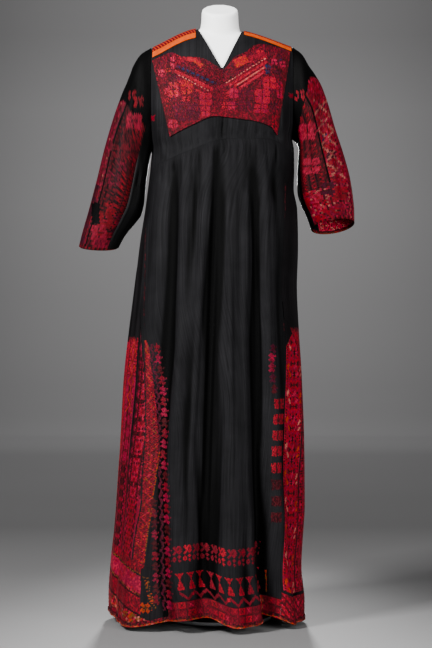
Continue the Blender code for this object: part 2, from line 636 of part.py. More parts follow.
def make_sleeves():
    """The outer and the under panel of each sleeve, and the binding round its cuff."""
    places = (0, 0.6, 1.2, 2, 3, 4, 5, 6, 7, 8, 9, 10)
    for side, outward in (("left", -1), ("right", 1)):
        front, back = UNDER_PANEL[side]
        outer = sleeve_columns(back - 360, front, 16)
        under = sleeve_columns(front, back, 8)

        def surface(angle, place):
            return sleeve(side, angle, place)

        cloth("sleeve_outer_" + side, surface, outer, places, CLOTH_RED, outward)
        cloth("sleeve_under_" + side, surface, under, places, CLOTH_BLACK, outward)
        cloth("cuff_binding_" + side, surface, np.concatenate([outer, under[1:-1]]),
              (CUFF_BINDING, 10.0), BINDING_GOLD, outward, lay_gap=LAY_GAP, wall=BINDING_WALL, closed=True)


def make_hem_binding():
    """One binding round the whole hem, in the columns of the panels that it covers."""
    cloth("hem_binding", binding_surface, hem_columns(), (0.0, 1.0), BINDING_GOLD,
          lay_gap=HEM_LAY_GAP, wall=BINDING_WALL, closed=True)


def hem_columns():
    """Angles round the hem at the columns of the panels."""
    front_left = along(FRONT_SEAM["left"], 1, HEM_LEVEL)
    front_right = along(FRONT_SEAM["right"], 1, HEM_LEVEL)
    back_left = along(BACK_SEAM["left"], 1, HEM_LEVEL)
    back_right = along(BACK_SEAM["right"], 1, HEM_LEVEL)
    gore_left = front_left - gore_width("left", np.array(0.0))
    gore_right = front_right + gore_width("right", np.array(0.0))
    across = np.array(front_columns())
    top_x, top_height = front_place(across, np.zeros_like(across))
    left_top, right_top = front_edge_angles(top_height)
    share = (angle_of(top_x, top_height) - left_top) / (right_top - left_top)
    front = front_left + share * (front_right - front_left)
    stretches = [np.linspace(back_left, gore_left, 11), np.linspace(gore_left, front_left, 6)[1:],
                 front[1:], np.linspace(front_right, gore_right, 6)[1:],
                 np.linspace(gore_right, back_right, 11)[1:],
                 (back_right + back_columns() * (back_left + 360 - back_right))[1:-1]]
    return np.concatenate(stretches)


def binding_surface(angle, up):
    return body(angle, hem_height(angle) + up * HEM_BINDING)


def make_shoulder_bands():
    """A striped band over each shoulder seam and an orange ribbon along its front edge."""
    for side in ("left", "right"):
        sizes = YOKES[side]

        def stripes(x, way):
            front, back = sizes["stripes_front"], sizes["stripes_back"]
            drop = np.where(way < 0, front, back) * way ** 2
            height = along(SHOULDERS, 1, x) - drop
            angle = angle_of(x, height)
            return body(np.where(way < 0, angle, 180.0 - angle), height)

        def ribbon(x, up):
            low, high = sizes["ribbon"], sizes["stripes_front"] + BAND_GAP
            return on_front(x, along(SHOULDERS, 1, x) - (low + up * (high - low)))

        columns = np.linspace(*sizes["x"], 9)
        cloth("shoulder_stripes_" + side, stripes, columns, (-1, -0.6, -0.3, 0, 0.2, 0.4, 0.6, 0.8, 1),
              CLOTH_STRIPES, lay_gap=LAY_GAP)
        cloth("shoulder_ribbon_" + side, ribbon, columns, (0, 0.5, 1), RIBBON_ORANGE,
              lay_gap=LAY_GAP, wall=BINDING_WALL)


# ---------------------------------------------------------------- the dress form

def form_surface(angle, up):
    """Outside of the torso: up from its flat underside to the seat of the shoulders."""
    sine, cosine = np.sin(np.radians(angle)), np.cos(np.radians(angle))
    bottom = FORM_RINGS[0][0]
    height = np.full(np.broadcast(angle, up).shape, bottom)
    for _ in range(8):
        left, right, front, back = (along(FORM_RINGS, column, height) for column in (1, 2, 3, 4))
        x = (left + right) / 2 + (right - left) / 2 * signed_power(sine, 2 / RING_POWER)
        top = along(SHOULDERS, 1, x) - (WALL + FORM_SEAT_GAP) * 1.09
        top = top - FORM_NECK_DIP * bump((x - NECK_AXIS[0]) / FORM_NECK_DIP_REACH)
        height = bottom + (top - bottom) * (1 - (1 - up) ** 2)
    drop = np.clip((top - height) / SHOULDER_ROUND, 0, 1)
    y = -np.where(cosine > 0, front, back) * signed_power(cosine, 2 / RING_POWER)
    return np.stack([x, y * np.sqrt(1 - (1 - drop) ** 2), height], axis=-1)


def make_form():
    """The torso and its neck are one piece; the pole and the round base carry it."""
    angles = np.arange(28) * 360.0 / 28
    across, up = np.meshgrid(angles, np.linspace(0, 1, 15))
    points = form_surface(across, up)
    rows, columns = across.shape
    grid = np.arange(rows * columns).reshape(rows, columns)
    faces = [[int(grid[r, c]), int(grid[r, (c + 1) % columns]), int(grid[r + 1, (c + 1) % columns]),
              int(grid[r + 1, c])] for r in range(rows - 1) for c in range(columns)]
    faces.append([int(corner) for corner in grid[0][::-1]])
    torso = new_object("form_torso", points.reshape(-1, 3), faces, FORM_WHITE)
    shell = bmesh.new()
    shell.from_mesh(torso.data)
    bmesh.ops.remove_doubles(shell, verts=shell.verts, dist=1e-5)
    shell.to_mesh(torso.data)
    shell.free()

    turn = np.arange(NECK_SIDES) * 2 * math.pi / NECK_SIDES
    neck_points = []
    for height, half_width, half_depth in NECK_RINGS + ((SHOULDER_HEIGHT + 1, *NECK_RINGS[-1][1:]),):
        for angle in turn:
            x, y = half_width * math.cos(angle), half_depth * math.sin(angle)
            slanted = NECK_TOP + NECK_SLANT * y
            below = NECK_TOP_STEP if height == NECK_RINGS[-1][0] else 0.0
            neck_points.append((NECK_AXIS[0] + x, NECK_AXIS[1] + y, min(height, slanted - below)))
    levels = len(NECK_RINGS) + 1
    neck_faces = [[r * NECK_SIDES + c, r * NECK_SIDES + (c + 1) % NECK_SIDES,
                   (r + 1) * NECK_SIDES + (c + 1) % NECK_SIDES, (r + 1) * NECK_SIDES + c]
                  for r in range(levels - 1) for c in range(NECK_SIDES)]
    neck_faces.append(list(range(NECK_SIDES))[::-1])
    neck_faces.append([(levels - 1) * NECK_SIDES + c for c in range(NECK_SIDES)])
    neck = new_object("neck_shape", neck_points, neck_faces, FORM_WHITE)
    COLLECTION.objects.unlink(neck)
    CUTTERS.objects.link(neck)
    neck.hide_render = True
    neck.display_type = "WIRE"
    join = torso.modifiers.new("neck", "BOOLEAN")
    join.operation = "UNION"
    join.object = neck

    pole_low, pole_high = BASE_THICKNESS + SEAM_GAP, FORM_RINGS[0][0] - SEAM_GAP
    bpy.ops.mesh.primitive_cylinder_add(vertices=24, radius=POLE_RADIUS, depth=pole_high - pole_low,
                                        location=(0, 0, (pole_high + pole_low) / 2))
    finish_primitive("form_pole", STAND_STEEL, 1.0)
    bpy.ops.mesh.primitive_cylinder_add(vertices=36, radius=BASE_RADIUS, depth=BASE_THICKNESS,
                                        location=(0, 0, BASE_THICKNESS / 2))
    base = finish_primitive("form_base", STAND_STEEL, 1.0)
    edge = base.modifiers.new("edge", "BEVEL")
    edge.width = BASE_EDGE
    edge.segments = 1
    edge.limit_method = "ANGLE"


def finish_primitive(name, look, metallic):
    """Name the primitive just made, colour it and put it with the other parts."""
    piece = bpy.context.active_object
    piece.name = name
    piece.data.name = name
    material = cloth_material(name + "_material", look)
    material.node_tree.nodes["Principled BSDF"].inputs["Metallic"].default_value = metallic
    piece.data.materials.append(material)
    for collection in list(piece.users_collection):
        collection.objects.unlink(piece)
    COLLECTION.objects.link(piece)
    return piece


for old in list(bpy.data.objects):
    bpy.data.objects.remove(old, do_unlink=True)
COLLECTION = bpy.data.collections.new(OBJECT_NAME)
bpy.context.scene.collection.children.link(COLLECTION)
CUTTERS = bpy.data.collections.new("cutters")
bpy.context.scene.collection.children.link(CUTTERS)

make_front()
make_chest_panel()
make_back()
make_sides()
make_sleeves()
make_hem_binding()
make_shoulder_bands()
make_form()
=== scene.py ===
"""A Palestinian thobe on a limbless dress form: its looks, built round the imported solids.

The dress is a set of thin cloth shells on the same surfaces as its solids. Each shell is a grid in which
one face is one cross stitch, so an embroidery is charted on a panel like on counted cloth, stitch by stitch.
Metres, +Z up, the front looks along -Y.
"""
import json
import math
from functools import partial

import bmesh
import bpy
import mathutils
import numpy as np
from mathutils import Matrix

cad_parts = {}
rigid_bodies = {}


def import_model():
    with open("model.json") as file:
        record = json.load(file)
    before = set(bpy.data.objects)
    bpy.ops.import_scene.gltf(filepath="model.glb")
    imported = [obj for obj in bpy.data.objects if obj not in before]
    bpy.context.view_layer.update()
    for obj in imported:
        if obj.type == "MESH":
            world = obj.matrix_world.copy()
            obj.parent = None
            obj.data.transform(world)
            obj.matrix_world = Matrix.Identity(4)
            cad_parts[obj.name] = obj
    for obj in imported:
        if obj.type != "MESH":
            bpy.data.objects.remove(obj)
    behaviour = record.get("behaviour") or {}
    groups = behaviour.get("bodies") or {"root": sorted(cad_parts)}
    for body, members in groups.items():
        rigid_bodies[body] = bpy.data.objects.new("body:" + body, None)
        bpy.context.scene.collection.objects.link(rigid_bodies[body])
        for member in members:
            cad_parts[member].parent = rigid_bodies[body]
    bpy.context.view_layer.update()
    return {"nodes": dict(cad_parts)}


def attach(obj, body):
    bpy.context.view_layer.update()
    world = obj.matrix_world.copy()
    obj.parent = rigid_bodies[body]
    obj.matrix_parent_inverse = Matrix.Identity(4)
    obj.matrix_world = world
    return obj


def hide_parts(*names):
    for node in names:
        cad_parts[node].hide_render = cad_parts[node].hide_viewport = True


for old in list(bpy.data.objects):
    bpy.data.objects.remove(old, do_unlink=True)
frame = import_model()
bpy.ops.object.select_all(action="DESELECT")

# ---------------------------------------------------------------- the dress form
# A limbless torso with a neck, padded and covered with white jersey, on a steel pole and a round base.
# Its shoulders carry the dress. The cover is stretched smooth, so the foot of the neck is one soft curve.

# Shoulder line of the dress: x, height
SHOULDERS = ((-0.200, 1.3640), (-0.1632, 1.3795), (-0.053, 1.4260), (0.000, 1.4300),
             (0.056, 1.4210), (0.1764, 1.3810), (0.200, 1.3720))

RING_POWER = 2.3          # how square the rings are, 2 is an ellipse
SHOULDER_ROUND = 0.130    # drop below the shoulder line at which the body reaches its full depth
WALL = 0.0015             # thickness of a cloth panel
MM = 0.001                # for tables in millimetres

FORM_RINGS = (            # height, reach to the left, reach to the right, depth in front, depth behind
    (0.880, -0.118, 0.132, 0.092, 0.086),
    (0.980, -0.116, 0.130, 0.092, 0.082),
    (1.100, -0.126, 0.140, 0.104, 0.084),
    (1.200, -0.140, 0.154, 0.109, 0.086),
    (1.300, -0.148, 0.162, 0.096, 0.082),
    (1.430, -0.146, 0.160, 0.070, 0.068),
)
FORM_SEAT_GAP = 0.0005    # between the form's shoulders and the cloth
FORM_NECK_DIP = 0.006     # how much lower the shoulders lie at the foot of the neck
FORM_NECK_DIP_REACH = 0.090
NECK_AXIS = (0.0015, 0.004)
# Rings of the neck: height, half width, half depth
NECK_RINGS = ((1.330, 0.0470, 0.0400), (1.395, 0.0510, 0.0415), (1.415, 0.0490, 0.0420),
              (1.440, 0.0455, 0.0430), (1.470, 0.0440, 0.0440))
NECK_TOP = 1.4755         # middle of the neck's slanted top
NECK_SLANT = 0.46         # rise of that top from front to back, per metre
NECK_SIDES = 64
NECK_TOP_ROUND = 0.004    # radius of the edge round that top
COVER_CELL = 0.004        # cell of the remeshed cover


def along(rows, column, at):
    """Read a table's column between its rows: a smooth curve that never swings past them."""
    table = np.array([[row[0], row[column]] for row in rows], dtype=float)
    keys, values = table[:, 0], table[:, 1]
    rise = np.diff(values) / np.diff(keys)
    product = rise[:-1] * rise[1:]
    total = np.where(np.abs(rise[:-1] + rise[1:]) > 1e-12, rise[:-1] + rise[1:], 1.0)
    slope = np.concatenate(([rise[0]], np.where(product > 0, 2 * product / total, 0.0), [rise[-1]]))
    at = np.clip(at, keys[0], keys[-1])
    row = np.clip(np.searchsorted(keys, at, side="right") - 1, 0, len(keys) - 2)
    span = keys[row + 1] - keys[row]
    t = (at - keys[row]) / span
    start = (1 + 2 * t) * (1 - t) ** 2 * values[row] + t * (1 - t) ** 2 * span * slope[row]
    end = t ** 2 * (3 - 2 * t) * values[row + 1] + t ** 2 * (t - 1) * span * slope[row + 1]
    return start + end


def signed_power(value, power):
    """A power that keeps the sign of its base."""
    return np.sign(value) * np.abs(value) ** power


def bump(distance):
    """1 at nought, falling to nothing at 1."""
    return np.where(np.abs(distance) < 1, 0.5 + 0.5 * np.cos(math.pi * np.clip(distance, -1, 1)), 0.0)


def turn_between(angle, centre):
    """Signed difference of two angles, between -180 and 180 degrees."""
    return (angle - centre + 180.0) % 360.0 - 180.0


def form_surface(angle, up):
    """Outside of the torso: up from its flat underside to the seat of the shoulders."""
    sine, cosine = np.sin(np.radians(angle)), np.cos(np.radians(angle))
    bottom = FORM_RINGS[0][0]
    height = np.full(np.broadcast(angle, up).shape, bottom)
    for _ in range(8):
        left, right, front, back = (along(FORM_RINGS, column, height) for column in (1, 2, 3, 4))
        x = (left + right) / 2 + (right - left) / 2 * signed_power(sine, 2 / RING_POWER)
        top = along(SHOULDERS, 1, x) - (WALL + FORM_SEAT_GAP) * 1.09
        top = top - FORM_NECK_DIP * bump((x - NECK_AXIS[0]) / FORM_NECK_DIP_REACH)
        height = bottom + (top - bottom) * (1 - (1 - up) ** 2)
    drop = np.clip((top - height) / SHOULDER_ROUND, 0, 1)
    y = -np.where(cosine > 0, front, back) * signed_power(cosine, 2 / RING_POWER)
    return np.stack([x, y * np.sqrt(1 - (1 - drop) ** 2), height], axis=-1)


def neck_surface(angle, up):
    """Outside of the neck, up to its slanted top, where it turns in over a rounded edge."""
    rise = np.clip(up, 0, 1)
    foot = NECK_RINGS[0][0]
    y = NECK_RINGS[-1][2] * np.sin(angle)
    height = foot + (NECK_TOP + NECK_SLANT * y - foot) * rise
    width, depth = along(NECK_RINGS, 1, height), along(NECK_RINGS, 2, height)
    turn = np.clip(up - 1, 0, 1) * math.pi / 2
    width = width - NECK_TOP_ROUND * (1 - np.cos(turn))
    depth = depth - NECK_TOP_ROUND * (1 - np.cos(turn))
    y = depth * np.sin(angle)
    height = np.where(rise < 1, height, NECK_TOP + NECK_SLANT * y - NECK_TOP_ROUND * (1 - np.sin(turn)))
    return np.stack([NECK_AXIS[0] + width * np.cos(angle), NECK_AXIS[1] + y, height], axis=-1)


def mesh_piece(name, points, faces):
    """A new object from a list of points and a list of faces."""
    mesh = bpy.data.meshes.new(name)
    mesh.from_pydata(points, [], faces)
    piece = bpy.data.objects.new(name, mesh)
    bpy.context.collection.objects.link(piece)
    return piece


def closed_tube(name, points):
    """A mesh from rings of points, with a flat face over each end."""
    rows, sides = points.shape[:2]
    grid = np.arange(rows * sides).reshape(rows, sides)
    after = np.roll(grid, -1, axis=1)
    faces = np.stack([grid[:-1], after[:-1], after[1:], grid[1:]], axis=-1).reshape(-1, 4).tolist()
    faces += [grid[0][::-1].tolist(), grid[-1].tolist()]
    return mesh_piece(name, points.reshape(-1, 3).tolist(), faces)


def apply_modifier(piece, kind, **settings):
    """Add a modifier with these settings and apply it."""
    modifier = piece.modifiers.new(kind.lower(), kind)
    for setting, value in settings.items():
        setattr(modifier, setting, value)
    bpy.context.view_layer.objects.active = piece
    bpy.ops.object.modifier_apply(modifier=modifier.name)


torso_angles, torso_rows = np.meshgrid(np.arange(96) * 3.75, np.linspace(0, 0.999, 60))
form_cover = closed_tube("dress_form_cover", form_surface(torso_angles, torso_rows))
neck_turns = np.arange(NECK_SIDES) * 2 * math.pi / NECK_SIDES
neck_rows = np.concatenate([np.linspace(0, 1, 32), (1.33, 1.66, 2.0)])
neck = closed_tube("dress_form_neck", neck_surface(*np.meshgrid(neck_turns, neck_rows)))
apply_modifier(form_cover, "BOOLEAN", operation="UNION", object=neck)
bpy.data.objects.remove(neck, do_unlink=True)
apply_modifier(form_cover, "REMESH", mode="VOXEL", voxel_size=COVER_CELL)
apply_modifier(form_cover, "SMOOTH", factor=0.5, iterations=10)
form_cover.data.shade_smooth()


def feed(tree, socket, value):
    """Link an output to this socket, or set a plain value on it."""
    if isinstance(value, bpy.types.NodeSocket):
        tree.links.new(value, socket)
    else:
        socket.default_value = value


def wire(tree, shader, **values):
    """Feed a shader's inputs, named with _ for each space."""
    for label, value in values.items():
        feed(tree, shader.inputs[label.replace("_", " ")], value)


def new_material(name, **values):
    """A material, its node tree and its Principled shader with these plain values on its inputs."""
    material = bpy.data.materials.new(name)
    material.use_nodes = True
    shader = material.node_tree.nodes["Principled BSDF"]
    wire(material.node_tree, shader, **values)
    return material, material.node_tree, shader


def new_group(name, inputs, outputs):
    """A shader node group: inputs are (socket type, name, value), outputs (socket type, name)."""
    group = bpy.data.node_groups.new(name, "ShaderNodeTree")
    for kind, label, value in inputs:
        socket = group.interface.new_socket(name=label, in_out="INPUT", socket_type="NodeSocket" + kind)
        if value is not None:
            socket.default_value = value
    for kind, label in outputs:
        group.interface.new_socket(name=label, in_out="OUTPUT", socket_type="NodeSocket" + kind)
    return group, group.nodes.new("NodeGroupInput").outputs, group.nodes.new("NodeGroupOutput").inputs


def add_node(tree, kind, values, **settings):
    """A node with these settings, its inputs fed by name or by number."""
    node = tree.nodes.new("ShaderNode" + kind)
    for setting, value in settings.items():
        setattr(node, setting, value)
    for label, value in values.items():
        feed(tree, node.inputs[label], value)
    return node


def math_node(tree, operation, *values):
    """This operation on plain values or outputs."""
    return add_node(tree, "Math", dict(enumerate(values)), operation=operation).outputs[0]


def times(tree, first, second):
    """The product of two values."""
    return math_node(tree, "MULTIPLY", first, second)


def range_node(tree, value, low, high, new_low=0.0, new_high=1.0):
    """A value carried from one range to another."""
    return add_node(tree, "MapRange", dict(enumerate((value, low, high, new_low, new_high)))).outputs[0]


def mix_node(tree, share, first, second):
    """Two colours mixed."""
    return add_node(tree, "Mix", {0: share, 6: first, 7: second}, data_type="RGBA").outputs[2]


def noise_node(tree, vector, scale, detail=2.0, roughness=0.5):
    """The value of a noise at this place."""
    values = {"Vector": vector, "Scale": scale, "Detail": detail, "Roughness": roughness}
    return add_node(tree, "TexNoise", values).outputs[0]


def stretch_node(tree, vector, scale):
    """A place stretched along each axis."""
    return add_node(tree, "Mapping", {"Vector": vector, "Scale": scale}).outputs[0]


def bump_node(tree, height, strength, distance):
    """The normal of a relief."""
    return add_node(tree, "Bump", {"Height": height, "Strength": strength, "Distance": distance}).outputs[0]


def group_node(tree, group, **values):
    """The outputs of a group on these values."""
    return add_node(tree, "Group", values, node_tree=group).outputs


def parts_node(tree, vector):
    """The three numbers of a vector."""
    return add_node(tree, "SeparateXYZ", {0: vector}).outputs


def scaled_colour(tree, colour, factor):
    """A colour times a number that changes over the surface."""
    return add_node(tree, "VectorMath", {0: colour, "Scale": factor}, operation="SCALE").outputs[0]


def object_place(tree):
    """Places in metres."""
    return add_node(tree, "TexCoord", {}).outputs["Object"]


def stitches_place(tree):
    """Places on the cloth, counted in stitches."""
    return add_node(tree, "UVMap", {}, uv_map="Stitches").outputs[0]


def attribute_node(tree, name):
    """The outputs of one of the mesh's attributes."""
    return add_node(tree, "Attribute", {}, attribute_name=name).outputs


# Knit of the cover: fine ribs that run up and down, and a faint cloud in its colour.
cover_white, tree, shader = new_material("form_jersey", Sheen_Weight=0.15)
place = object_place(tree)
ribs = noise_node(tree, stretch_node(tree, place, (900, 900, 300)), 1.0, detail=1.0)
cloud = noise_node(tree, place, 9.0, detail=3.0)
wire(tree, shader, Base_Color=mix_node(tree, cloud, (0.86, 0.855, 0.845, 1), (0.93, 0.925, 0.915, 1)),
     Roughness=range_node(tree, cloud, 0.3, 0.7, 0.56, 0.68), Normal=bump_node(tree, ribs, 0.25, 0.0004))
form_cover.data.materials.append(cover_white)
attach(form_cover, "root")
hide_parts("form_torso")

# Satin steel of the pole and the base, with faint rings of polishing and a few dull patches.
stand_steel, tree, shader = new_material("stand_steel", Metallic=1.0)
place = object_place(tree)
brushed = noise_node(tree, stretch_node(tree, place, (20, 20, 1400)), 1.0, detail=2.0)
dull = noise_node(tree, place, 14.0, detail=4.0)
wire(tree, shader, Base_Color=mix_node(tree, dull, (0.33, 0.33, 0.34, 1), (0.45, 0.45, 0.455, 1)),
     Roughness=range_node(tree, dull, 0.3, 0.7, 0.28, 0.42), Normal=bump_node(tree, brushed, 0.12, 0.0002))
for node_name in ("form_pole", "form_base"):
    frame["nodes"][node_name].data.materials.clear()
    frame["nodes"][node_name].data.materials.append(stand_steel)

# ---------------------------------------------------------------- the front skirt
# One width of black silk and cotton, hung in loose folds from the tucked seam under the chest. It is worked
# with a red band and a stem of blossoms up its left seam, squares up its right one, and rows over the hem.

BINDING_WALL = 0.0012     # thickness of a bias binding or a ribbon
SEAM_GAP = 0.0003         # space between neighbours along a seam
LAY_GAP = 0.0006          # space under a piece that lies on a panel
ARMHOLE_GAP = 0.0008      # space between a sleeve's head and its armhole
STEP = 1e-4               # step of the differences that give a surface's normal

OUTWARD = {"left": -1, "right": 1}                 # the way each side faces along x
ARMHOLE = {"left": -0.1632, "right": 0.1764}       # x of each armhole's plane
ARMPIT = {"left": 1.134, "right": 1.160}           # height of each armpit
SHOULDER_HEIGHT = 1.440   # above every point of the shoulder line
HEM_LEVEL = 0.020         # height at which a column's place on the hem is read

# Rings of the body: height, reach to the left, reach to the right, depth in front, depth behind
RINGS = (
    (0.000, -0.2620, 0.2030, 0.232, 0.190),
    (0.060, -0.2625, 0.2040, 0.226, 0.188),
    (0.130, -0.2580, 0.1985, 0.218, 0.184),
    (0.280, -0.2430, 0.2065, 0.202, 0.174),
    (0.440, -0.2350, 0.2045, 0.184, 0.160),
    (0.575, -0.2285, 0.1980, 0.170, 0.148),
    (0.700, -0.2160, 0.1890, 0.158, 0.136),
    (0.800, -0.2030, 0.1855, 0.150, 0.127),
    (0.911, -0.1902, 0.1905, 0.142, 0.118),
    (0.989, -0.1785, 0.1885, 0.137, 0.113),
    (1.040, -0.1720, 0.1800, 0.134, 0.110),
    (1.086, -0.1665, 0.1815, 0.131, 0.107),
    (1.134, -0.1632, 0.1805, 0.128, 0.104),
    (1.160, -0.1700, 0.1764, 0.125, 0.103),
    (1.200, -0.1795, 0.1850, 0.122, 0.102),
    (1.250, -0.1890, 0.1950, 0.114, 0.099),
    (1.340, -0.1920, 0.1990, 0.098, 0.094),
    (1.430, -0.1880, 0.1950, 0.085, 0.088),
)

# Folds that hang in the skirt, read at four heights. Angles in degrees from the middle of the front
# (90 is the right side, 180 the back), depths in millimetres, out from the ring or, negative, into it.
FOLD_HEIGHTS = (0.020, 0.400, 0.800, 1.150)
# name, half width, angle at each height from the hem up, depth at each height from the hem up
FOLDS = (
    ("left_trough", 11, (-22, -31, -30, -41), (-26, -8, -5, -1)),
    ("left_ridge", 9, (-12, -21, -12, -6), (3, 9, 6, 0)),
    ("middle_trough", 9, (0, -2, 0, 0), (-36, -14, -9, -1)),
    ("middle_ridge", 9, (14, 10, 7, 3), (14, 9, 6, 0)),
    ("deep_fold", 9.5, (39, 27, 26, 15), (-52, -27, -13, -1)),
    ("right_ridge", 8, (54, 40, 40, 31), (14, 7, 5, 0)),
    ("left_front_lobe", 15, (-46, -44, -46, -58), (15, 8, 4, 0)),
    ("left_side_trough", 11, (-72, -70, -72, -75), (-8, -7, -4, 0)),
    ("left_back_lobe", 14, (-98, -96, -96, -95), (9, 6, 3, 0)),
    ("left_back_trough", 10, (-122, -120, -120, -118), (-26, -16, -8, 0)),
    ("right_side_lobe", 12, (74, 70, 70, 70), (6, 5, 3, 0)),
    ("right_side_trough", 10, (97, 96, 95, 95), (-14, -10, -5, 0)),
    ("right_back_lobe", 12, (117, 116, 114, 112), (12, 7, 4, 0)),
    ("back_right_trough", 10, (138, 138, 140, 142), (-30, -18, -9, 0)),
    ("back_right_lobe", 11, (157, 157, 157, 157), (13, 8, 4, 0)),
    ("back_middle_trough", 9, (177, 176, 176, 176), (-24, -14, -8, 0)),
    ("back_left_lobe", 11, (-163, -164, -164, -163), (13, 8, 4, 0)),
    ("back_left_trough", 9, (-144, -143, -143, -142), (-18, -12, -6, 0)),
)

# Height of the hem round the dress: angle, height
HEM = ((-180, 0.012), (-140, 0.014), (-110, 0.012), (-88, 0.018), (-62, 0.012), (-45, 0.009),
       (-22, 0.024), (0, 0.033), (14, 0.014), (26, 0.016), (39, 0.034), (56, 0.009),
       (80, 0.010), (97, 0.014), (117, 0.010), (140, 0.015), (180, 0.012))

# Seams: height, angle
FRONT_SEAM = {
    "left": ((0.050, -25), (0.157, -30), (0.285, -32.5), (0.419, -33), (0.530, -37), (0.663, -52),
             (0.777, -64), (0.873, -69), (1.004, -78), (1.160, -78)),
    "right": ((0.050, 46), (0.200, 44), (0.340, 43.5), (0.470, 46), (0.580, 50), (0.690, 53.5),
              (0.800, 51), (0.900, 50), (1.000, 55), (1.060, 64), (1.100, 73), (1.130, 76), (1.160, 76)),
}
BACK_SEAM = {
    "left": ((0.050, -131), (0.500, -126), (1.000, -108), (1.160, -102)),
    "right": ((0.050, 131), (0.500, 126), (1.000, 108), (1.160, 103)),
}
# Width of the gore in front of each side panel: share of the way up to the tucked seam, degrees
GORE_WIDTH = {
    "left": ((0.05, 38.5), (0.14, 35), (0.22, 34), (0.32, 32), (0.46, 22), (0.571, 9), (0.643, 0.6)),
    "right": ((0.05, 36.5), (0.14, 38), (0.32, 38), (0.46, 35), (0.571, 20), (0.643, 0.8)),
}
GORE_ROWS = 9             # rows of the skirt up to the gores' points
SKIRT_ROWS = 14           # rows of the skirt up to the tucked seam

# Tucked seam between the front bodice and the front skirt: x, height
TUCK_SEAM = ((-0.165, 1.0850), (-0.1063, 1.1094), (-0.0683, 1.1227), (-0.0024, 1.1459),
             (0.0635, 1.1510), (0.1206, 1.1500), (0.175, 1.1250))

# Neck of the dress
NECK_LEFT = -0.0530       # x of the neck's corners on the shoulder line
NECK_RIGHT = 0.0560
NECK_POINT_X = 0.0068     # point of the V in front
NECK_POINT_Z = 1.3175
BACK_NECK_DROP = 0.042    # depth of the scoop behind


def folds(angle, height):
    """How far the hanging folds push the cloth out from its ring."""
    push = np.zeros(np.broadcast(angle, height).shape)
    for _, half_width, angles, depths in FOLDS:
        rows = tuple(zip(FOLD_HEIGHTS, angles, depths))
        distance = turn_between(angle, along(rows, 1, height)) / half_width
        push = push + along(rows, 2, height) * MM * bump(distance)
    return push


def ring_span(height):
    """x of the middle of the ring at this height, and half its width."""
    left, right = along(RINGS, 1, height), along(RINGS, 2, height)
    return (left + right) / 2, (right - left) / 2


def ring_x(angle, height):
    """x of the unfolded ring at this angle and height."""
    middle, half = ring_span(height)
    return middle + half * signed_power(np.sin(np.radians(angle)), 2 / RING_POWER)


def angle_of(x, height):
    """Angle on the front half of the unfolded ring at this height where it has this x."""
    middle, half = ring_span(height)
    share = np.clip((x - middle) / half, -1, 1)
    return np.degrees(np.arcsin(np.clip(signed_power(share, RING_POWER / 2), -1, 1)))


def body(angle, height):
    """Point on the outside of the dress's body, by angle round it and height."""
    sine, cosine = np.sin(np.radians(angle)), np.cos(np.radians(angle))
    push = folds(angle, height)
    depth = np.where(cosine > 0, along(RINGS, 3, height), along(RINGS, 4, height))
    x = ring_x(angle, height) + push * sine
    y = -depth * signed_power(cosine, 2 / RING_POWER) - push * cosine
    drop = np.clip((along(SHOULDERS, 1, x) - height) / SHOULDER_ROUND, 0, 1)
    y = y * np.sqrt(1 - (1 - drop) ** 2)
    return np.stack(np.broadcast_arrays(x, y, height), axis=-1)


def armhole_angle(side, height):
    """Angle from the front at which the armhole cuts the body, a quarter turn under the armpit."""
    edge = np.abs(angle_of(ARMHOLE[side], height))
    return np.where(np.asarray(height) < ARMPIT[side], 90.0, edge)


def front_edge_angles(height):
    """Angles of the front's left and right edges: the front seams, then the armholes."""
    left = np.maximum(along(FRONT_SEAM["left"], 1, height), -armhole_angle("left", height))
    right = np.minimum(along(FRONT_SEAM["right"], 1, height), armhole_angle("right", height))
    return left, right


def neckline(x):
    """Height of the top edge of the front: the shoulder line, and the V between its corners."""
    half = np.where(x < NECK_POINT_X, NECK_POINT_X - NECK_LEFT, NECK_RIGHT - NECK_POINT_X)
    share = np.clip(np.abs(x - NECK_POINT_X) / half, 0, 1)
    shoulder = along(SHOULDERS, 1, x)
    return NECK_POINT_Z + (shoulder - NECK_POINT_Z) * share ** 1.1


def front_place(across, up):
    """x on the unfolded ring and height of a point of the front bodice."""
    x = ARMHOLE["left"] + across * (ARMHOLE["right"] - ARMHOLE["left"])
    for _ in range(6):
        seam = along(TUCK_SEAM, 1, x)
        height = seam + (neckline(x) - seam) * (1 - (1 - up) ** 2)
        left_x, right_x = (ring_x(angle, height) for angle in front_edge_angles(height))
        x = left_x + across * (right_x - left_x)
    return x, height


def front_bodice(across, up):
    """The front above the tucked seam: across from left to right, up from the seam to the top."""
    return on_front(*front_place(across, up))


def on_front(x, height):
    """Point of the front at this x and height, seen from the front."""
    return body(angle_of(x, height), height)


def hem_height(angle):
    """Height of the hem at this angle."""
    return along(HEM, 1, turn_between(angle, 0.0))


def front_skirt(across, up):
    """The front below the tucked seam, in the bodice's own columns."""
    top_x, top_height = front_place(across, np.zeros_like(across))
    left_top, right_top = front_edge_angles(top_height)
    share = (angle_of(top_x, top_height) - left_top) / (right_top - left_top)

    def angle_at(height):
        left_angle = along(FRONT_SEAM["left"], 1, height)
        return left_angle + share * (along(FRONT_SEAM["right"], 1, height) - left_angle)

    hem = hem_height(angle_at(HEM_LEVEL))
    height = hem + (top_height - hem) * up
    return body(angle_at(height), height)


def normal_of(surface, across, up, outward):
    """Unit normals from one-sided steps that stay inside the surface."""
    step_across = np.where(across + STEP > across.max(), -STEP, STEP)
    step_up = np.where(up + STEP > up.max(), -STEP, STEP)
    here = surface(across, up)
    run = (surface(across + step_across, up) - here) / step_across[..., None]
    rise = (surface(across, up + step_up) - here) / step_up[..., None]
    normal = np.cross(run, rise) * outward
    return normal / np.linalg.norm(normal, axis=-1, keepdims=True)


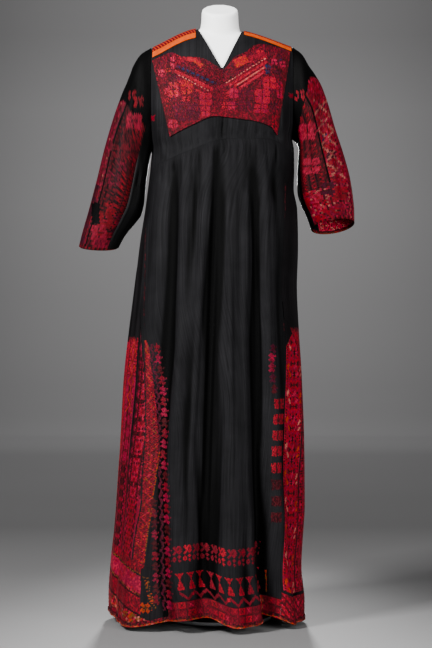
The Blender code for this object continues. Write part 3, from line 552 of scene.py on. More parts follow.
def inset(points, closed):
    """Draw the edges in by half a seam's gap, square to the edge."""
    moved = points.copy()
    pairs = [((0, slice(None)), (1, slice(None))), ((-1, slice(None)), (-2, slice(None)))]
    if not closed:
        pairs += [((slice(None), 0), (slice(None), 1)), ((slice(None), -1), (slice(None), -2))]
    for edge, next_to_it in pairs:
        way = points[next_to_it] - points[edge]
        run = np.gradient(points[edge], axis=0)
        run = run / np.maximum(np.linalg.norm(run, axis=-1, keepdims=True), 1e-9)
        way = way - run * np.sum(way * run, axis=-1, keepdims=True)
        length = np.maximum(np.linalg.norm(way, axis=-1, keepdims=True), 1e-9)
        moved[edge] += way / length * SEAM_GAP / 2
    return moved


# Painted light and shade in the creases: a relief read over these spans lightens the cloth's colour on a
# ridge and darkens it in a trough.
RELIEF_SPANS = (6, 12)    # cells over which a ridge or a trough is felt
RELIEF_SCALE = 0.0040     # height that counts as a full ridge
INSIDE_THREADS = (0.45, 0.45, 0.45, 0.6)      # how dark and how sparse the stitches' backs are
WELD_DISTANCE = 2e-6      # corners this near to each other become one
SHARP_ANGLE = math.radians(60)
# Strips of the bake's map: left edge and width of the outer skin's and of the lining's; for the rims,
# left edge of the first one's, step to the next and width
OUTER_STRIP = (0.01, 0.70)
LINING_STRIP = (0.73, 0.23)
RIM_STRIPS = (0.968, 0.007, 0.003)


def grid_of(columns, rows):
    """Two grids from a row of columns and a column of rows, or from columns that are a grid already."""
    if np.ndim(columns) == 2:
        return columns, np.repeat(np.asarray(rows, float)[:, None], columns.shape[1], axis=1)
    return np.meshgrid(np.asarray(columns, float), np.asarray(rows, float))


def smooth_to(value, reach):
    """0 at nought, rising smoothly to 1 at this reach."""
    share = np.clip(value / reach, 0, 1)
    return share * share * (3 - 2 * share)


FADE_CELLS = 5            # from a panel's edge to where its creases are whole


def edge_fade(across, closed):
    """0 on a panel's edges and 1 a few cells inside them, so that neighbours still meet."""
    row = np.arange(across.shape[0])[:, None]
    fade = smooth_to(np.minimum(row, across.shape[0] - 1 - row), FADE_CELLS) * np.ones_like(across)
    if not closed:
        in_from_edge = np.minimum(across - across.min(), across.max() - across)
        fade = fade * smooth_to(in_from_edge, FADE_CELLS * np.diff(across, axis=1).max(axis=1, keepdims=True))
    return fade


def shell_faces(skin, lining, some_rows, some_columns, closed):
    """Faces of a shell as lists of corners: the two skins, then the rims; and how many each rim has."""
    faces = quads(skin) + [face[::-1] for face in quads(lining)]
    rims = [(skin[0], lining[0], some_columns, False), (skin[-1], lining[-1], some_columns, True)]
    if not closed:
        rims += [(skin[:, -1], lining[:, -1], some_rows, False), (skin[:, 0], lining[:, 0], some_rows, True)]
    for edge, inner_edge, stops, turned in rims:
        for step in range(len(stops) - 1):
            start, end = stops[step], stops[step + 1]
            face = edge[start:end + 1][::-1].tolist() + inner_edge[step:step + 2].tolist()
            faces.append(face[::-1] if turned else face)
    return faces, [len(rim[2]) - 1 for rim in rims]


def bake_places(shares, in_face, on_lining, skins, linings, rim_faces):
    """Where a shell's corners lie on the bake's map: the skins and the rims side by side.

    shares: how far across and up the cloth each corner is. in_face: the number of its face.
    """
    across, up = shares.T
    left, width = np.where(in_face[:, None] < skins, OUTER_STRIP, LINING_STRIP).T
    from_left, from_foot = left + width * across, up
    rim = np.repeat(np.arange(len(rim_faces)), rim_faces)[np.maximum(in_face - skins - linings, 0)]
    on_rim = in_face >= skins + linings
    left, step, width = RIM_STRIPS
    from_left = np.where(on_rim, left + step * rim + width * on_lining, from_left)
    from_foot = np.where(on_rim & (rim < 2), across, from_foot)
    return np.stack([from_left, 0.01 + 0.98 * from_foot], axis=-1)


def cloth_shell(node, surface, columns, rows, outward=1, wall=WALL, lay_gap=None, closed=False,
                threads=None, push=None, weld=False):
    """A closed shell of cloth for this node, whose outer skin has one face for each stitch.

    The inner skin has every second row and column of the outer one. threads holds a colour and a cover
    for each face of the outer skin. push moves the points out along the normals, for creases.
    """
    across, up = grid_of(columns, rows)
    points = surface(across, up)
    normals = normal_of(surface, across, up, outward)
    if push is not None:
        points = points + normals * (push(points) * edge_fade(across, closed))[..., None]
    points = inset(points, closed)
    outer_shift = 0.0 if lay_gap is None else lay_gap + wall
    outer = points + normals * outer_shift
    if closed:
        outer, points, normals = (np.concatenate([part, part[:, :1]], axis=1)
                                  for part in (outer, points, normals))
    count_up, count_across = outer.shape[:2]
    some_rows = np.unique(np.linspace(0, count_up - 1, count_up // 2 + 1).round().astype(int))
    some_columns = np.unique(np.linspace(0, count_across - 1, count_across // 2 + 1).round().astype(int))
    inner = (points + normals * (outer_shift - wall))[np.ix_(some_rows, some_columns)]
    skin = np.arange(count_up * count_across).reshape(count_up, count_across)
    lining = np.arange(inner.shape[0] * inner.shape[1]).reshape(inner.shape[:2]) + skin.size
    faces, rim_faces = shell_faces(skin, lining, some_rows, some_columns, closed)
    if outward < 0:
        faces = [face[::-1] for face in faces]
    corners = np.concatenate([outer.reshape(-1, 3), inner.reshape(-1, 3)])
    piece = mesh_piece("dress_" + node, corners.tolist(), faces)
    mesh = piece.data

    # Places on the cloth: "Stitches" counts them across and up.
    counted = np.stack(np.indices(skin.shape)[::-1], axis=-1)
    inside_counted = counted[np.ix_(some_rows, some_columns)]
    counted = np.concatenate([counted.reshape(-1, 2), inside_counted.reshape(-1, 2)]).astype(float)
    corner = np.empty(len(mesh.loops), int)
    mesh.loops.foreach_get("vertex_index", corner)
    in_face = np.repeat(np.arange(len(faces)), [len(face) for face in faces])
    skins, linings = (skin[1:, 1:].size, lining[1:, 1:].size)
    shares = counted[corner] / (count_across - 1, count_up - 1)
    bake = bake_places(shares, in_face, corner >= skin.size, skins, linings, rim_faces)
    mesh.uv_layers.new(name="OFBake").data.foreach_set("uv", bake.ravel())
    mesh.uv_layers.new(name="Stitches").data.foreach_set("uv", counted[corner].ravel())

    # Thread on each face: its colour, and in the fourth number how far it covers the ground.
    stitched = np.zeros((len(faces), 4))
    if threads is not None:
        stitched[:skins] = threads.reshape(-1, 4)
        inside = threads[np.ix_(some_rows[:-1], some_columns[:-1])] * INSIDE_THREADS
        stitched[skins:skins + linings] = inside.reshape(-1, 4)
    thread_colour = mesh.color_attributes.new("thread", "FLOAT_COLOR", "CORNER")
    thread_colour.data.foreach_set("color", stitched[in_face].ravel())
    # Painted light and shade: each point's relief goes into the "fade" attribute, which lightens the cloth's
    # colour on the ridges of its creases and darkens it in their troughs.
    relief = relief_of(outer, normals)
    relief = np.concatenate([relief.ravel(), relief[np.ix_(some_rows, some_columns)].ravel()])
    mesh.attributes.new("fade", "FLOAT", "POINT").data.foreach_set("value", relief)
    if weld:
        shell = bmesh.new()
        shell.from_mesh(mesh)
        bmesh.ops.remove_doubles(shell, verts=shell.verts, dist=WELD_DISTANCE)
        shell.to_mesh(mesh)
        shell.free()
    mesh.shade_smooth()
    mesh.set_sharp_from_angle(angle=SHARP_ANGLE)
    return piece


def relief_of(points, normals):
    """How far each point of a panel stands out of its neighbourhood: 1 on a ridge, -1 in a trough. The
    cloth's colour is painted lighter on the ridges and darker in the troughs by it: painted light and shade.
    """
    total = np.zeros(points.shape[:2])
    for span in RELIEF_SPANS:
        wide = np.pad(points, ((0, 0), (span, span), (0, 0)), mode="edge")
        level = (wide[:, :-2 * span] + wide[:, 2 * span:]) / 2
        total += ((points - level) * normals).sum(axis=-1) / RELIEF_SCALE
    return np.clip(total, -1, 1)


def quads(grid):
    """Faces between the neighbours of a grid of corners."""
    return np.stack([grid[:-1, :-1], grid[:-1, 1:], grid[1:, 1:], grid[1:, :-1]], -1).reshape(-1, 4).tolist()


def creases(rows):
    """A push for cloth_shell: soft ridges and troughs laid on the front or the back.

    rows: side (-1 front, 1 back), then in millimetres the x and height of one end, the x and height of
    the other, half the width and the push.
    """
    def push(points):
        x, y, z = np.moveaxis(points, -1, 0)
        total = np.zeros(x.shape)
        for side, *sizes in rows:
            x_high, z_high, x_low, z_low, half_width, depth = np.multiply(sizes, MM)
            share = (z_high - z) / (z_high - z_low)
            centre = x_high + (x_low - x_high) * share
            length = np.sin(math.pi * np.clip(share, 0, 1)) ** 0.6
            total += np.where(y * side > 0, depth * length * bump((x - centre) / half_width), 0)
        return total
    return push


def sew(piece, material):
    """Give a finished piece its material and its body, and hide the solid it stands for."""
    piece.data.materials.append(material)
    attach(piece, "root")
    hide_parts(piece.name.removeprefix("dress_"))


# Thread: one letter for each colour of silk, in linear red, green and blue.
THREADS = {
    "r": (0.1800, 0.0003, 0.0070),    # scarlet
    "c": (0.0950, 0.0003, 0.0060),    # crimson
    "m": (0.1350, 0.0004, 0.0150),    # magenta
    "l": (0.2400, 0.0035, 0.0220),    # rose
    "k": (0.0380, 0.0010, 0.0030),    # brownish red
    "d": (0.0110, 0.0002, 0.0014),    # maroon
    "v": (0.0380, 0.0005, 0.0080),    # plum
    "o": (0.2300, 0.0150, 0.0015),    # orange
    "g": (0.0950, 0.0290, 0.0030),    # old gold
    "b": (0.0045, 0.0100, 0.0360),    # blue
    "p": (0.2600, 0.0620, 0.0480),    # pale pink
}
LETTERS = "".join(THREADS)
STITCH = 0.0025           # width of one cross stitch


def codes(letters):
    """The numbers that stand for these threads in a chart; a point is bare cloth."""
    return np.array([LETTERS.find(letter) + 1 for letter in letters])


def new_chart(rows, columns, ground="."):
    """An empty chart: 0 is bare cloth, 1 and up the threads in the order of their letters."""
    return np.full((rows, columns), codes(ground)[0])


def quartered(motif):
    """A whole motif from its upper left quarter, whose last row and column are the middle ones."""
    lines = mirrored(motif).split()
    return " ".join(lines + lines[-2::-1])


def mirrored(motif):
    """A whole motif from its left half, whose last column is the middle one."""
    return " ".join(line + line[-2::-1] for line in motif.split())


def read_motif(motif, threads):
    """A motif's marks as numbers, and the codes of the threads for its marks a, b, c, d.

    A motif is written row by row from its top, the rows parted by spaces.
    """
    marks = np.array([[".abcd".index(mark) for mark in line] for line in motif.split()])
    return marks, codes("." + threads.ljust(4, threads[-1]))


def stamp(chart, motif, row, column, threads):
    """Work a motif with its lower left corner here."""
    marks, colours = read_motif(motif, threads)
    marks = marks[::-1]
    low, start = max(-row, 0), max(-column, 0)
    window = chart[max(row, 0):max(row + marks.shape[0], 0), max(column, 0):max(column + marks.shape[1], 0)]
    part = marks[low:low + window.shape[0], start:start + window.shape[1]]
    window[part > 0] = colours[part[part > 0]]


def repeat(chart, motif, step, threads, start=(0, 0)):
    """Work a motif over a whole chart with these steps; the sets of threads take turns."""
    for number, row in enumerate(range(start[0], chart.shape[0], step[0])):
        for place, column in enumerate(range(start[1], chart.shape[1], step[1])):
            stamp(chart, motif, row, column, threads[(number + place) % len(threads)])


def diamonds(threads, down, across, size, seed):
    """Small diamonds of these threads, from counts of stitches down and across.

    threads holds a letter as often as its share of the work asks.
    """
    picks = np.random.default_rng(seed).integers(0, len(threads), (61, 61))
    return codes(threads)[picks[(down + across) // size % 61, (down - across) // size % 61]]


def figured(chart, threads, period, size=2, seed=0):
    """A closely worked band, the same on both sides of its middle and in each repeat."""
    rows, columns = np.indices(chart.shape)
    from_middle = np.abs(2 * columns - chart.shape[1] + 1) // 2
    chart[:] = diamonds(threads, np.abs(rows % period - period // 2), from_middle, size, seed)


def net(chart, period, thread, thick=1.4):
    """A diagonal net of one thread: two zigzags up the chart that cross."""
    rows, columns = np.indices(chart.shape)
    wave = np.abs((rows / period) % 1 * 2 - 1) * (chart.shape[1] - 1)
    from_right = chart.shape[1] - 1 - columns
    chart[(np.abs(columns - wave) < thick) | (np.abs(from_right - wave) < thick)] = codes(thread)[0]


def plain(chart, thread):
    """Work a whole chart in one thread."""
    chart[:] = codes(thread)[0]


def zigzag(chart, row, height, period, thick, thread):
    """A zigzag line across the chart."""
    rows, columns = np.indices(chart.shape)
    centre = row + height * np.abs(2 * ((columns / period) % 1) - 1)
    chart[np.abs(rows - centre) <= thick / 2] = codes(thread)[0]


def worked(chart, seed, colour_gain=1.0):
    """The colour and cover of every stitch of a chart, each skein a little uneven; the last argument scales
    all their colours, and on the sleeves it is painted light.
    """
    draw = np.random.default_rng(seed)
    colours = np.array([(0.0, 0.0, 0.0)] + list(THREADS.values()))[chart]
    skeins = draw.normal(1.0, 0.09, (chart.shape[0] // 9 + 1, chart.shape[1] // 6 + 1))
    shade = np.repeat(np.repeat(skeins, 9, axis=0), 6, axis=1)[:chart.shape[0], :chart.shape[1]]
    shade = np.clip(shade * draw.normal(1.0, 0.22, chart.shape), 0.4, 1.7)
    colours = colours * shade[..., None] * colour_gain
    return np.concatenate([colours, (chart > 0)[..., None] * 1.0], axis=-1)


def middles(surface, columns, rows):
    """x and height of the middle of every stitch of a panel, and whether it is on the front."""
    across, up = grid_of(columns, rows)
    points = surface((across[:-1, :-1] + across[1:, 1:]) / 2, (up[:-1, :-1] + up[1:, 1:]) / 2)
    return points[..., 0], points[..., 2], points[..., 1] < 0.0


def work_at(chart, spots, motif, x, z, threads):
    """Work a motif square to the front, with its middle at this x and height on the front of a panel."""
    marks, colours = read_motif(motif, threads)
    row = np.floor((z - spots[1]) / STITCH + marks.shape[0] / 2).astype(int)
    column = np.floor((spots[0] - x) / STITCH + marks.shape[1] / 2).astype(int)
    there = spots[2] & (row >= 0) & (row < marks.shape[0]) & (column >= 0) & (column < marks.shape[1])
    mark = np.where(there, marks[row % marks.shape[0], column % marks.shape[1]], 0)
    chart[mark > 0] = colours[mark[mark > 0]]


def near_line(spots, start, end, half_width):
    """Which stitches lie on a line between two points of the front, and how far along it each one is."""
    run = np.subtract(end, start)
    length = np.linalg.norm(run)
    run = run / length
    way = (spots[0] - start[0]) * run[0] + (spots[1] - start[1]) * run[1]
    apart = np.abs((spots[0] - start[0]) * run[1] - (spots[1] - start[1]) * run[0])
    return (way > 0) & (way < length) & (apart < half_width) & spots[2], way


def fill(chart, where, threads, size=2, seed=0):
    """Closely work this area in small diamonds of these threads."""
    rows, columns = np.indices(chart.shape)
    chart[where] = diamonds(threads, rows, columns, size, seed)[where]


def work_between(chart, spots, left, right, threads, period, size=2, seed=0):
    """Closely work a panel's front between two lines, given as rows of height and x."""
    x, z, on_front = spots
    left_x, right_x = along(left, 1, z), along(right, 1, z)
    from_middle = (np.abs(x - (left_x + right_x) / 2) / STITCH).astype(int)
    from_centre = np.abs((z / STITCH).astype(int) % period - period // 2)
    low, high = max(left[0][0], right[0][0]), min(left[-1][0], right[-1][0])
    where = on_front & (x > left_x) & (x < right_x) & (z > low) & (z < high)
    chart[where] = diamonds(threads, from_centre, from_middle, size, seed)[where]


STAR = quartered("...a.... ...aa... ...aaa.. aaaaaaa. .aaaaba. ..aabab. ...aaba. .......c")
BLOSSOM = quartered(".aaaaa.. aaaaaaa. aabaaaa. aaabaaa. aaaabaa. aaaaaba. .aaaaab. .......c")
SMALL_ROSETTE = quartered(".aa.. aaaa. aaba. .aab. ....b")
VASE = mirrored("a......a ba....aa .ba..aaa ..b.aaba ..abaaba ..aaabaa ...aaaba ...abaaa ....aaba ....abaa "
                ".....aaa ......ba ......ba ....aaab ...a...a")
PETAL_BLOCK = quartered(".aaaaa.d aaaaaa.d aabaaaad aaabaaad aaaabaad aaaaabad ddddddcc")
BRANCH = ".aa..... aaaa.... .aaa.... ..aab... ...bb... ....bcc. ....cccc ....ccc. ...bb... ..bb...."
STEM = "..aa. .aba. .ab.. aab.. aa... aa... .aa.. ..ab. ..ba. ..aa."
BLOOM = "..aa... .aaaa.. aaaaa.a .aaaabb ..abb.. .aaab.. aaaaaa. .a.aaa. ....a.."
LEAF_PAIR = (".aa..aaa.. aaa.aaaaa. .aaaaabaa. ..aaabbaaa ...aabaaa. ..aaaaaaaa .aaa.aaaa. aaa...aa.. "
             ".a........ ......aa.. .aa..aaaa. aaaa..aa.. aaba...... aaaa..aa.. .aa...aaa. .......a..")
TASSEL = mirrored("aa.aa .aaaa ..aba ...aa ...aa ....a ....a ....a ...aa ...aa ..aaa ..aab ..aab .aaab "
                  ".aaaa .aaaa")
TINY = "aa.aa .aaa. aaba. .aaaa aa.a."
BLOCK = "aaaaaaaa. aabaabaa. aaabbaaa. aaabbaaa. aabaabaa. aaaaaaaa. ........."

# Columns of the front skirt are evenly spaced along its folded hem, so the deep folds take more of them.
SKIRT_COLUMNS = 172
EVEN_AT = 0.10            # share of the way up at which the columns are even
WORKED_UP_TO = 0.66       # height of the top of the embroidery
PLAIN_CELL = 0.006        # height of a row above it
FRONT_TOP = 1.12          # usual height of the tucked seam over the hem


def even_columns(surface, count, at):
    """Shares across a surface that part its row at this height into equal lengths."""
    share = np.linspace(0, 1, 1201)
    row = surface(share, np.full_like(share, at))
    length = np.concatenate([[0], np.cumsum(np.linalg.norm(np.diff(row, axis=0), axis=1))])
    return np.interp(np.linspace(0, length[-1], count + 1), length, share)


def skirt_rows(top_height, worked_up_to=WORKED_UP_TO, plain=PLAIN_CELL):
    """Shares of the way up a panel: rows of stitches, then coarser rows of plain cloth."""
    low = np.arange(0, worked_up_to, STITCH)
    high = np.linspace(low[-1] + STITCH, top_height, int((top_height - low[-1]) / plain))
    return np.concatenate([low, high]) / top_height


front_rows = skirt_rows(FRONT_TOP)
front_across = even_columns(front_skirt, SKIRT_COLUMNS, EVEN_AT)

# Creases, as rows for creases()
SKIRT_CREASES = [
    (-1, -104, 1110, -126, 480, 22, -6), (-1, -80, 1120, -100, 420, 16, 4),
    (-1, -54, 1120, -60, 860, 6, -2.2), (-1, -42, 1130, -50, 800, 5, -2.6),
    (-1, -31, 1140, -36, 900, 5, -2.2), (-1, -26, 1140, -70, 300, 11, 4),
    (-1, -4, 1150, -40, 60, 13, -8.5), (-1, 21, 1150, 30, 250, 11, 5),
    (-1, 46, 1150, 50, 700, 10, -2.6), (-1, 63, 1150, 68, 760, 8, 2.6),
    (-1, 82, 1150, 94, 420, 12, -6), (-1, 108, 1150, 120, 520, 12, 5),
    (-1, 130, 1120, 140, 600, 10, -3), (-1, 150, 1080, 150, 700, 10, 2.5),
    (-1, -144, 1060, -150, 560, 14, 3), (-1, -94, 540, -86, 50, 14, 3.6),
    (-1, -56, 480, -30, 60, 12, -3.6), (-1, 20, 600, 4, 80, 12, 3.6),
]
GATHERS = [(-138, 50), (-121, 75), (-109, 40), (-92, 90), (-79, 60), (-66, 110),
           (-48, 70), (-25, 60), (-12, 110), (11, 50), (29, 80), (44, 60),
           (63, 100), (71, 50), (88, 70), (107, 50), (113, 90), (135, 60)]
gather_rows = []
for x, length in GATHERS:
    seam = float(along(TUCK_SEAM, 1, x * MM)) / MM
    gather_rows.append((-1, x, seam + 0.30 * length, x * 1.01, seam - length, 4.5, -2.8))

# Lines of the left side, as rows of height and x: edges of the bright band, and the way of the blossoms
BAND_LEFT = ((0.145, -0.2042), (0.183, -0.2007), (0.230, -0.1936), (0.300, -0.1807), (0.347, -0.1795),
             (0.417, -0.1749), (0.476, -0.1713), (0.675, -0.1772))
BAND_RIGHT = ((0.145, -0.1760), (0.173, -0.1730), (0.232, -0.1671), (0.274, -0.1584), (0.328, -0.1526),
              (0.392, -0.1432), (0.417, -0.1401), (0.464, -0.1432), (0.535, -0.1502), (0.582, -0.1549),
              (0.617, -0.1608), (0.657, -0.1643), (0.675, -0.1740))
BLOSSOM_WAY = ((0.065, -0.1150), (0.159, -0.1185), (0.253, -0.1209), (0.347, -0.1244), (0.417, -0.1303),
               (0.453, -0.1267), (0.535, -0.1303), (0.582, -0.1338), (0.617, -0.1408), (0.661, -0.1455))
# Squares up the right seam: height and x of each
SQUARES = ((0.262, 0.1330), (0.300, 0.1330), (0.338, 0.1330), (0.377, 0.1335), (0.416, 0.1345),
           (0.452, 0.1368), (0.490, 0.1385), (0.526, 0.1408))
SQUARE = (0.0120, 0.0115)  # half the width and half the height of each
SQUARES_BRIGHT_FROM = 0.35
MEANDER = 0.030           # height of one turn of the line on the bright band
# Half the widths of lines one or two stitches wide
THIN_LINE = 0.0013
MIDDLE_LINE = 0.0014
WINDING_LINE = 0.0016
ORANGE_EDGE = (0.16, 0.42)    # heights between which the bright band has an orange edge
GOLD_MARK = ((0.110, 0.086), (0.108, 0.138))
# Blossoms over the squares: height and x of the middle, and threads
RIGHT_BLOSSOMS = ((0.655, 0.1265, "vk"), (0.634, 0.1240, "ml"), (0.610, 0.1240, "mc"), (0.585, 0.1250, "vk"),
                  (0.560, 0.1290, "kv"))
BLOSSOM_STEP = 0.0247     # from blossom to blossom up the left seam
BLOSSOM_THREADS = ("mv", "cv", "kd", "mk", "cd")
SIDE_BLOSSOM_THREADS = ("cv", "kd", "mk", "kv")
SIDE_BLOSSOM_X = -0.030   # of the lower blossoms beside them
# Seams above the embroidery that a dark red thread shows in: x and height of the top and of the foot
DOTTED_SEAMS = (((-0.176, 1.05), (-0.178, 0.70)), ((0.157, 1.05), (0.153, 0.70)))


def work_left_band(chart, spots):
    """The bright band beside the left seam, with a winding line on it, edged in orange below."""
    work_between(chart, spots, BAND_LEFT, BAND_RIGHT, "crckckm", 8, 1, seed=6)
    x, z, on_front = spots
    left_x, right_x = along(BAND_LEFT, 1, z), along(BAND_RIGHT, 1, z)
    share = (x - left_x) / np.maximum(right_x - left_x, 0.001)
    on_band = on_front & (share > 0) & (share < 1) & (z > BAND_LEFT[0][0]) & (z < BAND_LEFT[-1][0])
    wave = 0.5 + 0.3 * np.sin(2 * math.pi * z / MEANDER)
    fill(chart, on_band & (np.abs(share - wave) * (right_x - left_x) < WINDING_LINE), "lrogr", 1, seed=7)
    on_edge = (np.abs(x - right_x) < MIDDLE_LINE) & (z > ORANGE_EDGE[0]) & (z < ORANGE_EDGE[1])
    fill(chart, on_front & on_edge, "ogk", 1)


def front_skirt_chart(spots):
    """Rows over the hem, from the binding up, then the work along the seams."""
    x, z, on_front = spots
    chart = new_chart(*x.shape)
    figured(chart[3:18, 6:], "kkc", 8, 2, seed=1)
    repeat(chart[3:18, 15:], BLOCK, (8, 9), ["ck", "cr", "rk", "cl"])
    figured(chart[3:18, 138:154], "pgrokpr", 7, 2, seed=4)
    plain(chart[18:19, 6:], "d")
    zigzag(chart[:, 28:150], 20, 6, 15, 3.2, "c")
    repeat(chart[20:27, 34:150], "aaa aba aaa", (20, 45), ["rl", "rc"], start=(3, 6))
    repeat(chart[29:46, 26:-24], TASSEL, (40, 12), ["rc", "rk", "rc", "cr"])
    repeat(chart[55:74, 24:-26], LEAF_PAIR, (40, 11), ["ck", "rk", "ck", "cr"])
    work_left_band(chart, spots)
    # A plum stem with blossoms on it, up the left seam.
    for number, level in enumerate(np.arange(0.062, 0.662, BLOSSOM_STEP)):
        middle = along(BLOSSOM_WAY, 1, level)
        work_at(chart, spots, STEM, middle - 0.013, level, "vk")
        work_at(chart, spots, BLOOM, middle, level, BLOSSOM_THREADS[number % 5])
        if level < 0.30:
            threads = SIDE_BLOSSOM_THREADS[number % 4]
            work_at(chart, spots, BLOOM, middle + SIDE_BLOSSOM_X, level + 0.012, threads)
    # Squares up the right seam, each parted by a dark line, and blossoms over them.
    for number, (level, middle) in enumerate(SQUARES):
        off_x, off_z = np.abs(x - middle), np.abs(z - level)
        threads = "rrcrk" if level > SQUARES_BRIGHT_FROM else "kdkd"
        fill(chart, (off_x < SQUARE[0]) & (off_z < SQUARE[1]) & on_front, threads, 2, seed=number)
        fill(chart, (off_x < MIDDLE_LINE) & (off_z < SQUARE[1]) & on_front, "dk", 1)
    for level, middle, threads in RIGHT_BLOSSOMS:
        work_at(chart, spots, BLOOM, middle, level, threads)
    for seam in DOTTED_SEAMS:
        fill(chart, near_line(spots, *seam, THIN_LINE)[0], "k.d.", 1, seed=2)
    fill(chart, near_line(spots, *GOLD_MARK, THIN_LINE)[0], "oog", 1)
    return chart


def cross_stitch_group():
    """Relief of one cross stitch in each unit square: two diagonal threads, one over the other."""
    group, given, put = new_group("cross_stitch", [("Vector", "Place", None), ("Float", "Half width", 0.29)],
                                  [("Float", "Height")])
    place = parts_node(group, given["Place"])
    x, y = math_node(group, "FRACT", place[0]), math_node(group, "FRACT", place[1])
    heights = []
    for from_diagonal in (math_node(group, "SUBTRACT", x, y),
                          math_node(group, "SUBTRACT", math_node(group, "ADD", x, y), 1.0)):
        apart = times(group, math_node(group, "ABSOLUTE", from_diagonal), 0.7071)
        share = math_node(group, "DIVIDE", apart, given["Half width"])
        square = times(group, share, share)
        heights.append(math_node(group, "MAXIMUM", math_node(group, "SUBTRACT", 1.0, square), 0.0))
    under = times(group, heights[0], 0.78)
    feed(group, put["Height"], math_node(group, "MAXIMUM", under, heights[1]))
    return group


def plain_weave_group():
    """Relief of a plain weave, from places counted in stitches, with slubs along the warp."""
    group, given, put = new_group("plain_weave", [("Vector", "Place", None), ("Float", "Threads", 4.0)],
                                  [("Float", "Height"), ("Float", "Slub")])
    place = parts_node(group, given["Place"])
    turns = times(group, given["Threads"], math.pi)
    waves = [math_node(group, "SINE", times(group, place[k], turns)) for k in (0, 1)]
    feed(group, put["Height"], range_node(group, times(group, *waves), -1.0, 1.0))
    slub = noise_node(group, stretch_node(group, given["Place"], (0.9, 0.018, 1.0)), 1.0, detail=4.0)
    feed(group, put["Slub"], slub)
    return group


def wear_group():
    """Faded and rubbed patches that drift over a cloth: a factor near one for its colour."""
    group, given, put = new_group("wear", [("Vector", "Place", None), ("Float", "Depth", 0.25)],
                                  [("Float", "Factor")])
    patches = noise_node(group, given["Place"], 16.0, detail=5.0, roughness=0.6)
    low = math_node(group, "SUBTRACT", 1.0, given["Depth"])
    high = math_node(group, "ADD", 1.0, given["Depth"])
    feed(group, put["Factor"], range_node(group, patches, 0.3, 0.7, low, high))
    return group


cross_stitch = cross_stitch_group()
plain_weave = plain_weave_group()
wear = wear_group()


def embroidered_material(name, ground):
    """Cloth of this ground colour with the threads of its "thread" attribute stitched on it, with painted
    light and shade in its creases and painted shade between its threads.
    """
    material, tree, shader = new_material(name)
    place, spot = stitches_place(tree), object_place(tree)
    thread = attribute_node(tree, "thread")
    # The "fade" attribute is painted light and shade: the ground is painted lighter on the creases' ridges
    # and darker in their troughs.
    painted_crease_shading = range_node(tree, attribute_node(tree, "fade")["Fac"], -1.0, 1.0, 0.1, 1.9)
    stitch = group_node(tree, cross_stitch, Place=place)["Height"]
    weave = group_node(tree, plain_weave, Place=place)
    worn = group_node(tree, wear, Place=spot, Depth=0.22)["Factor"]
    cover = times(tree, thread["Alpha"], range_node(tree, stitch, 0.02, 0.16))
    # Painted shade between the threads: the silk's colour is painted darker where the threads of each cross
    # lie low and lighter on their crowns.
    silk = scaled_colour(tree, thread["Color"],
                         times(tree, worn, range_node(tree, stitch, 0.0, 1.0, 0.5, 1.15)))
    slub = range_node(tree, weave["Slub"], 0.3, 0.7, 0.6, 1.45)
    cloth = scaled_colour(tree, ground, times(tree, times(tree, slub, painted_crease_shading), worn))
    low = times(tree, weave["Height"], 0.18)
    relief = math_node(tree, "MAXIMUM", low, times(tree, stitch, cover))
    wire(tree, shader, Base_Color=mix_node(tree, cover, cloth, silk),
         Roughness=range_node(tree, cover, 0.0, 1.0, 0.62, 0.5),
         Specular_IOR_Level=range_node(tree, cover, 0.0, 1.0, 0.03, 0.07),
         Normal=bump_node(tree, relief, 0.7, 0.0007))
    return material


black_cloth = embroidered_material("black_silk_cotton", (0.0028, 0.0027, 0.0030))

skirt_chart = front_skirt_chart(middles(front_skirt, front_across, front_rows))
skirt = cloth_shell("front_skirt", front_skirt, front_across, front_rows,
                    threads=worked(skirt_chart, seed=3, colour_gain=0.85),
                    push=creases(SKIRT_CREASES + gather_rows))
sew(skirt, black_cloth)

# ---------------------------------------------------------------- the front bodice
# The same black cloth above the tucked seam, cut to a V at the neck, with a small rosette by each armhole.
# Its lower edge is turned over the skirt's and tucked by hand, which draws the cloth into small gathers.

BODICE_CELL = 0.003       # side of a cell of its grid
BODICE_SIZE = (0.345, 0.26)    # usual width and height


def shoulder_rows(count):
    """Rows from 0 to 1 that lie closer and closer up to the shoulder line, where the cloth turns over."""
    rows = 1 - np.sqrt(1 - np.linspace(0, 0.9999, count))
    rows[-1] = 1.0
    return rows


bodice_across = np.linspace(0, 1, int(BODICE_SIZE[0] / BODICE_CELL))
bodice_rows = shoulder_rows(int(BODICE_SIZE[1] / BODICE_CELL))
BODICE_CREASES = [
    (-1, -140, 1180, -128, 1095, 10, 3), (-1, 128, 1170, 140, 1125, 10, -3),
    (-1, 150, 1260, 152, 1100, 12, 4), (-1, -150, 1300, -146, 1120, 9, 3),
    (-1, 90, 1190, 94, 1145, 8, -2), (-1, 8, 1206, 6, 1140, 4, -3),
]
ROSETTES = ((-0.158, 1.2035), (0.172, 1.258))
bodice_chart = new_chart(len(bodice_rows) - 1, len(bodice_across) - 1)
for rosette in ROSETTES:
    work_at(bodice_chart, middles(front_bodice, bodice_across, bodice_rows), TINY, *rosette, "cr")
bodice = cloth_shell("front_bodice", front_bodice, bodice_across, bodice_rows,
                     threads=worked(bodice_chart, seed=5), push=creases(BODICE_CREASES + gather_rows))
sew(bodice, black_cloth)

# ---------------------------------------------------------------- the chest panel
# The panel over the chest, worked on its own cloth in silk until no ground shows, and laid on the bodice.

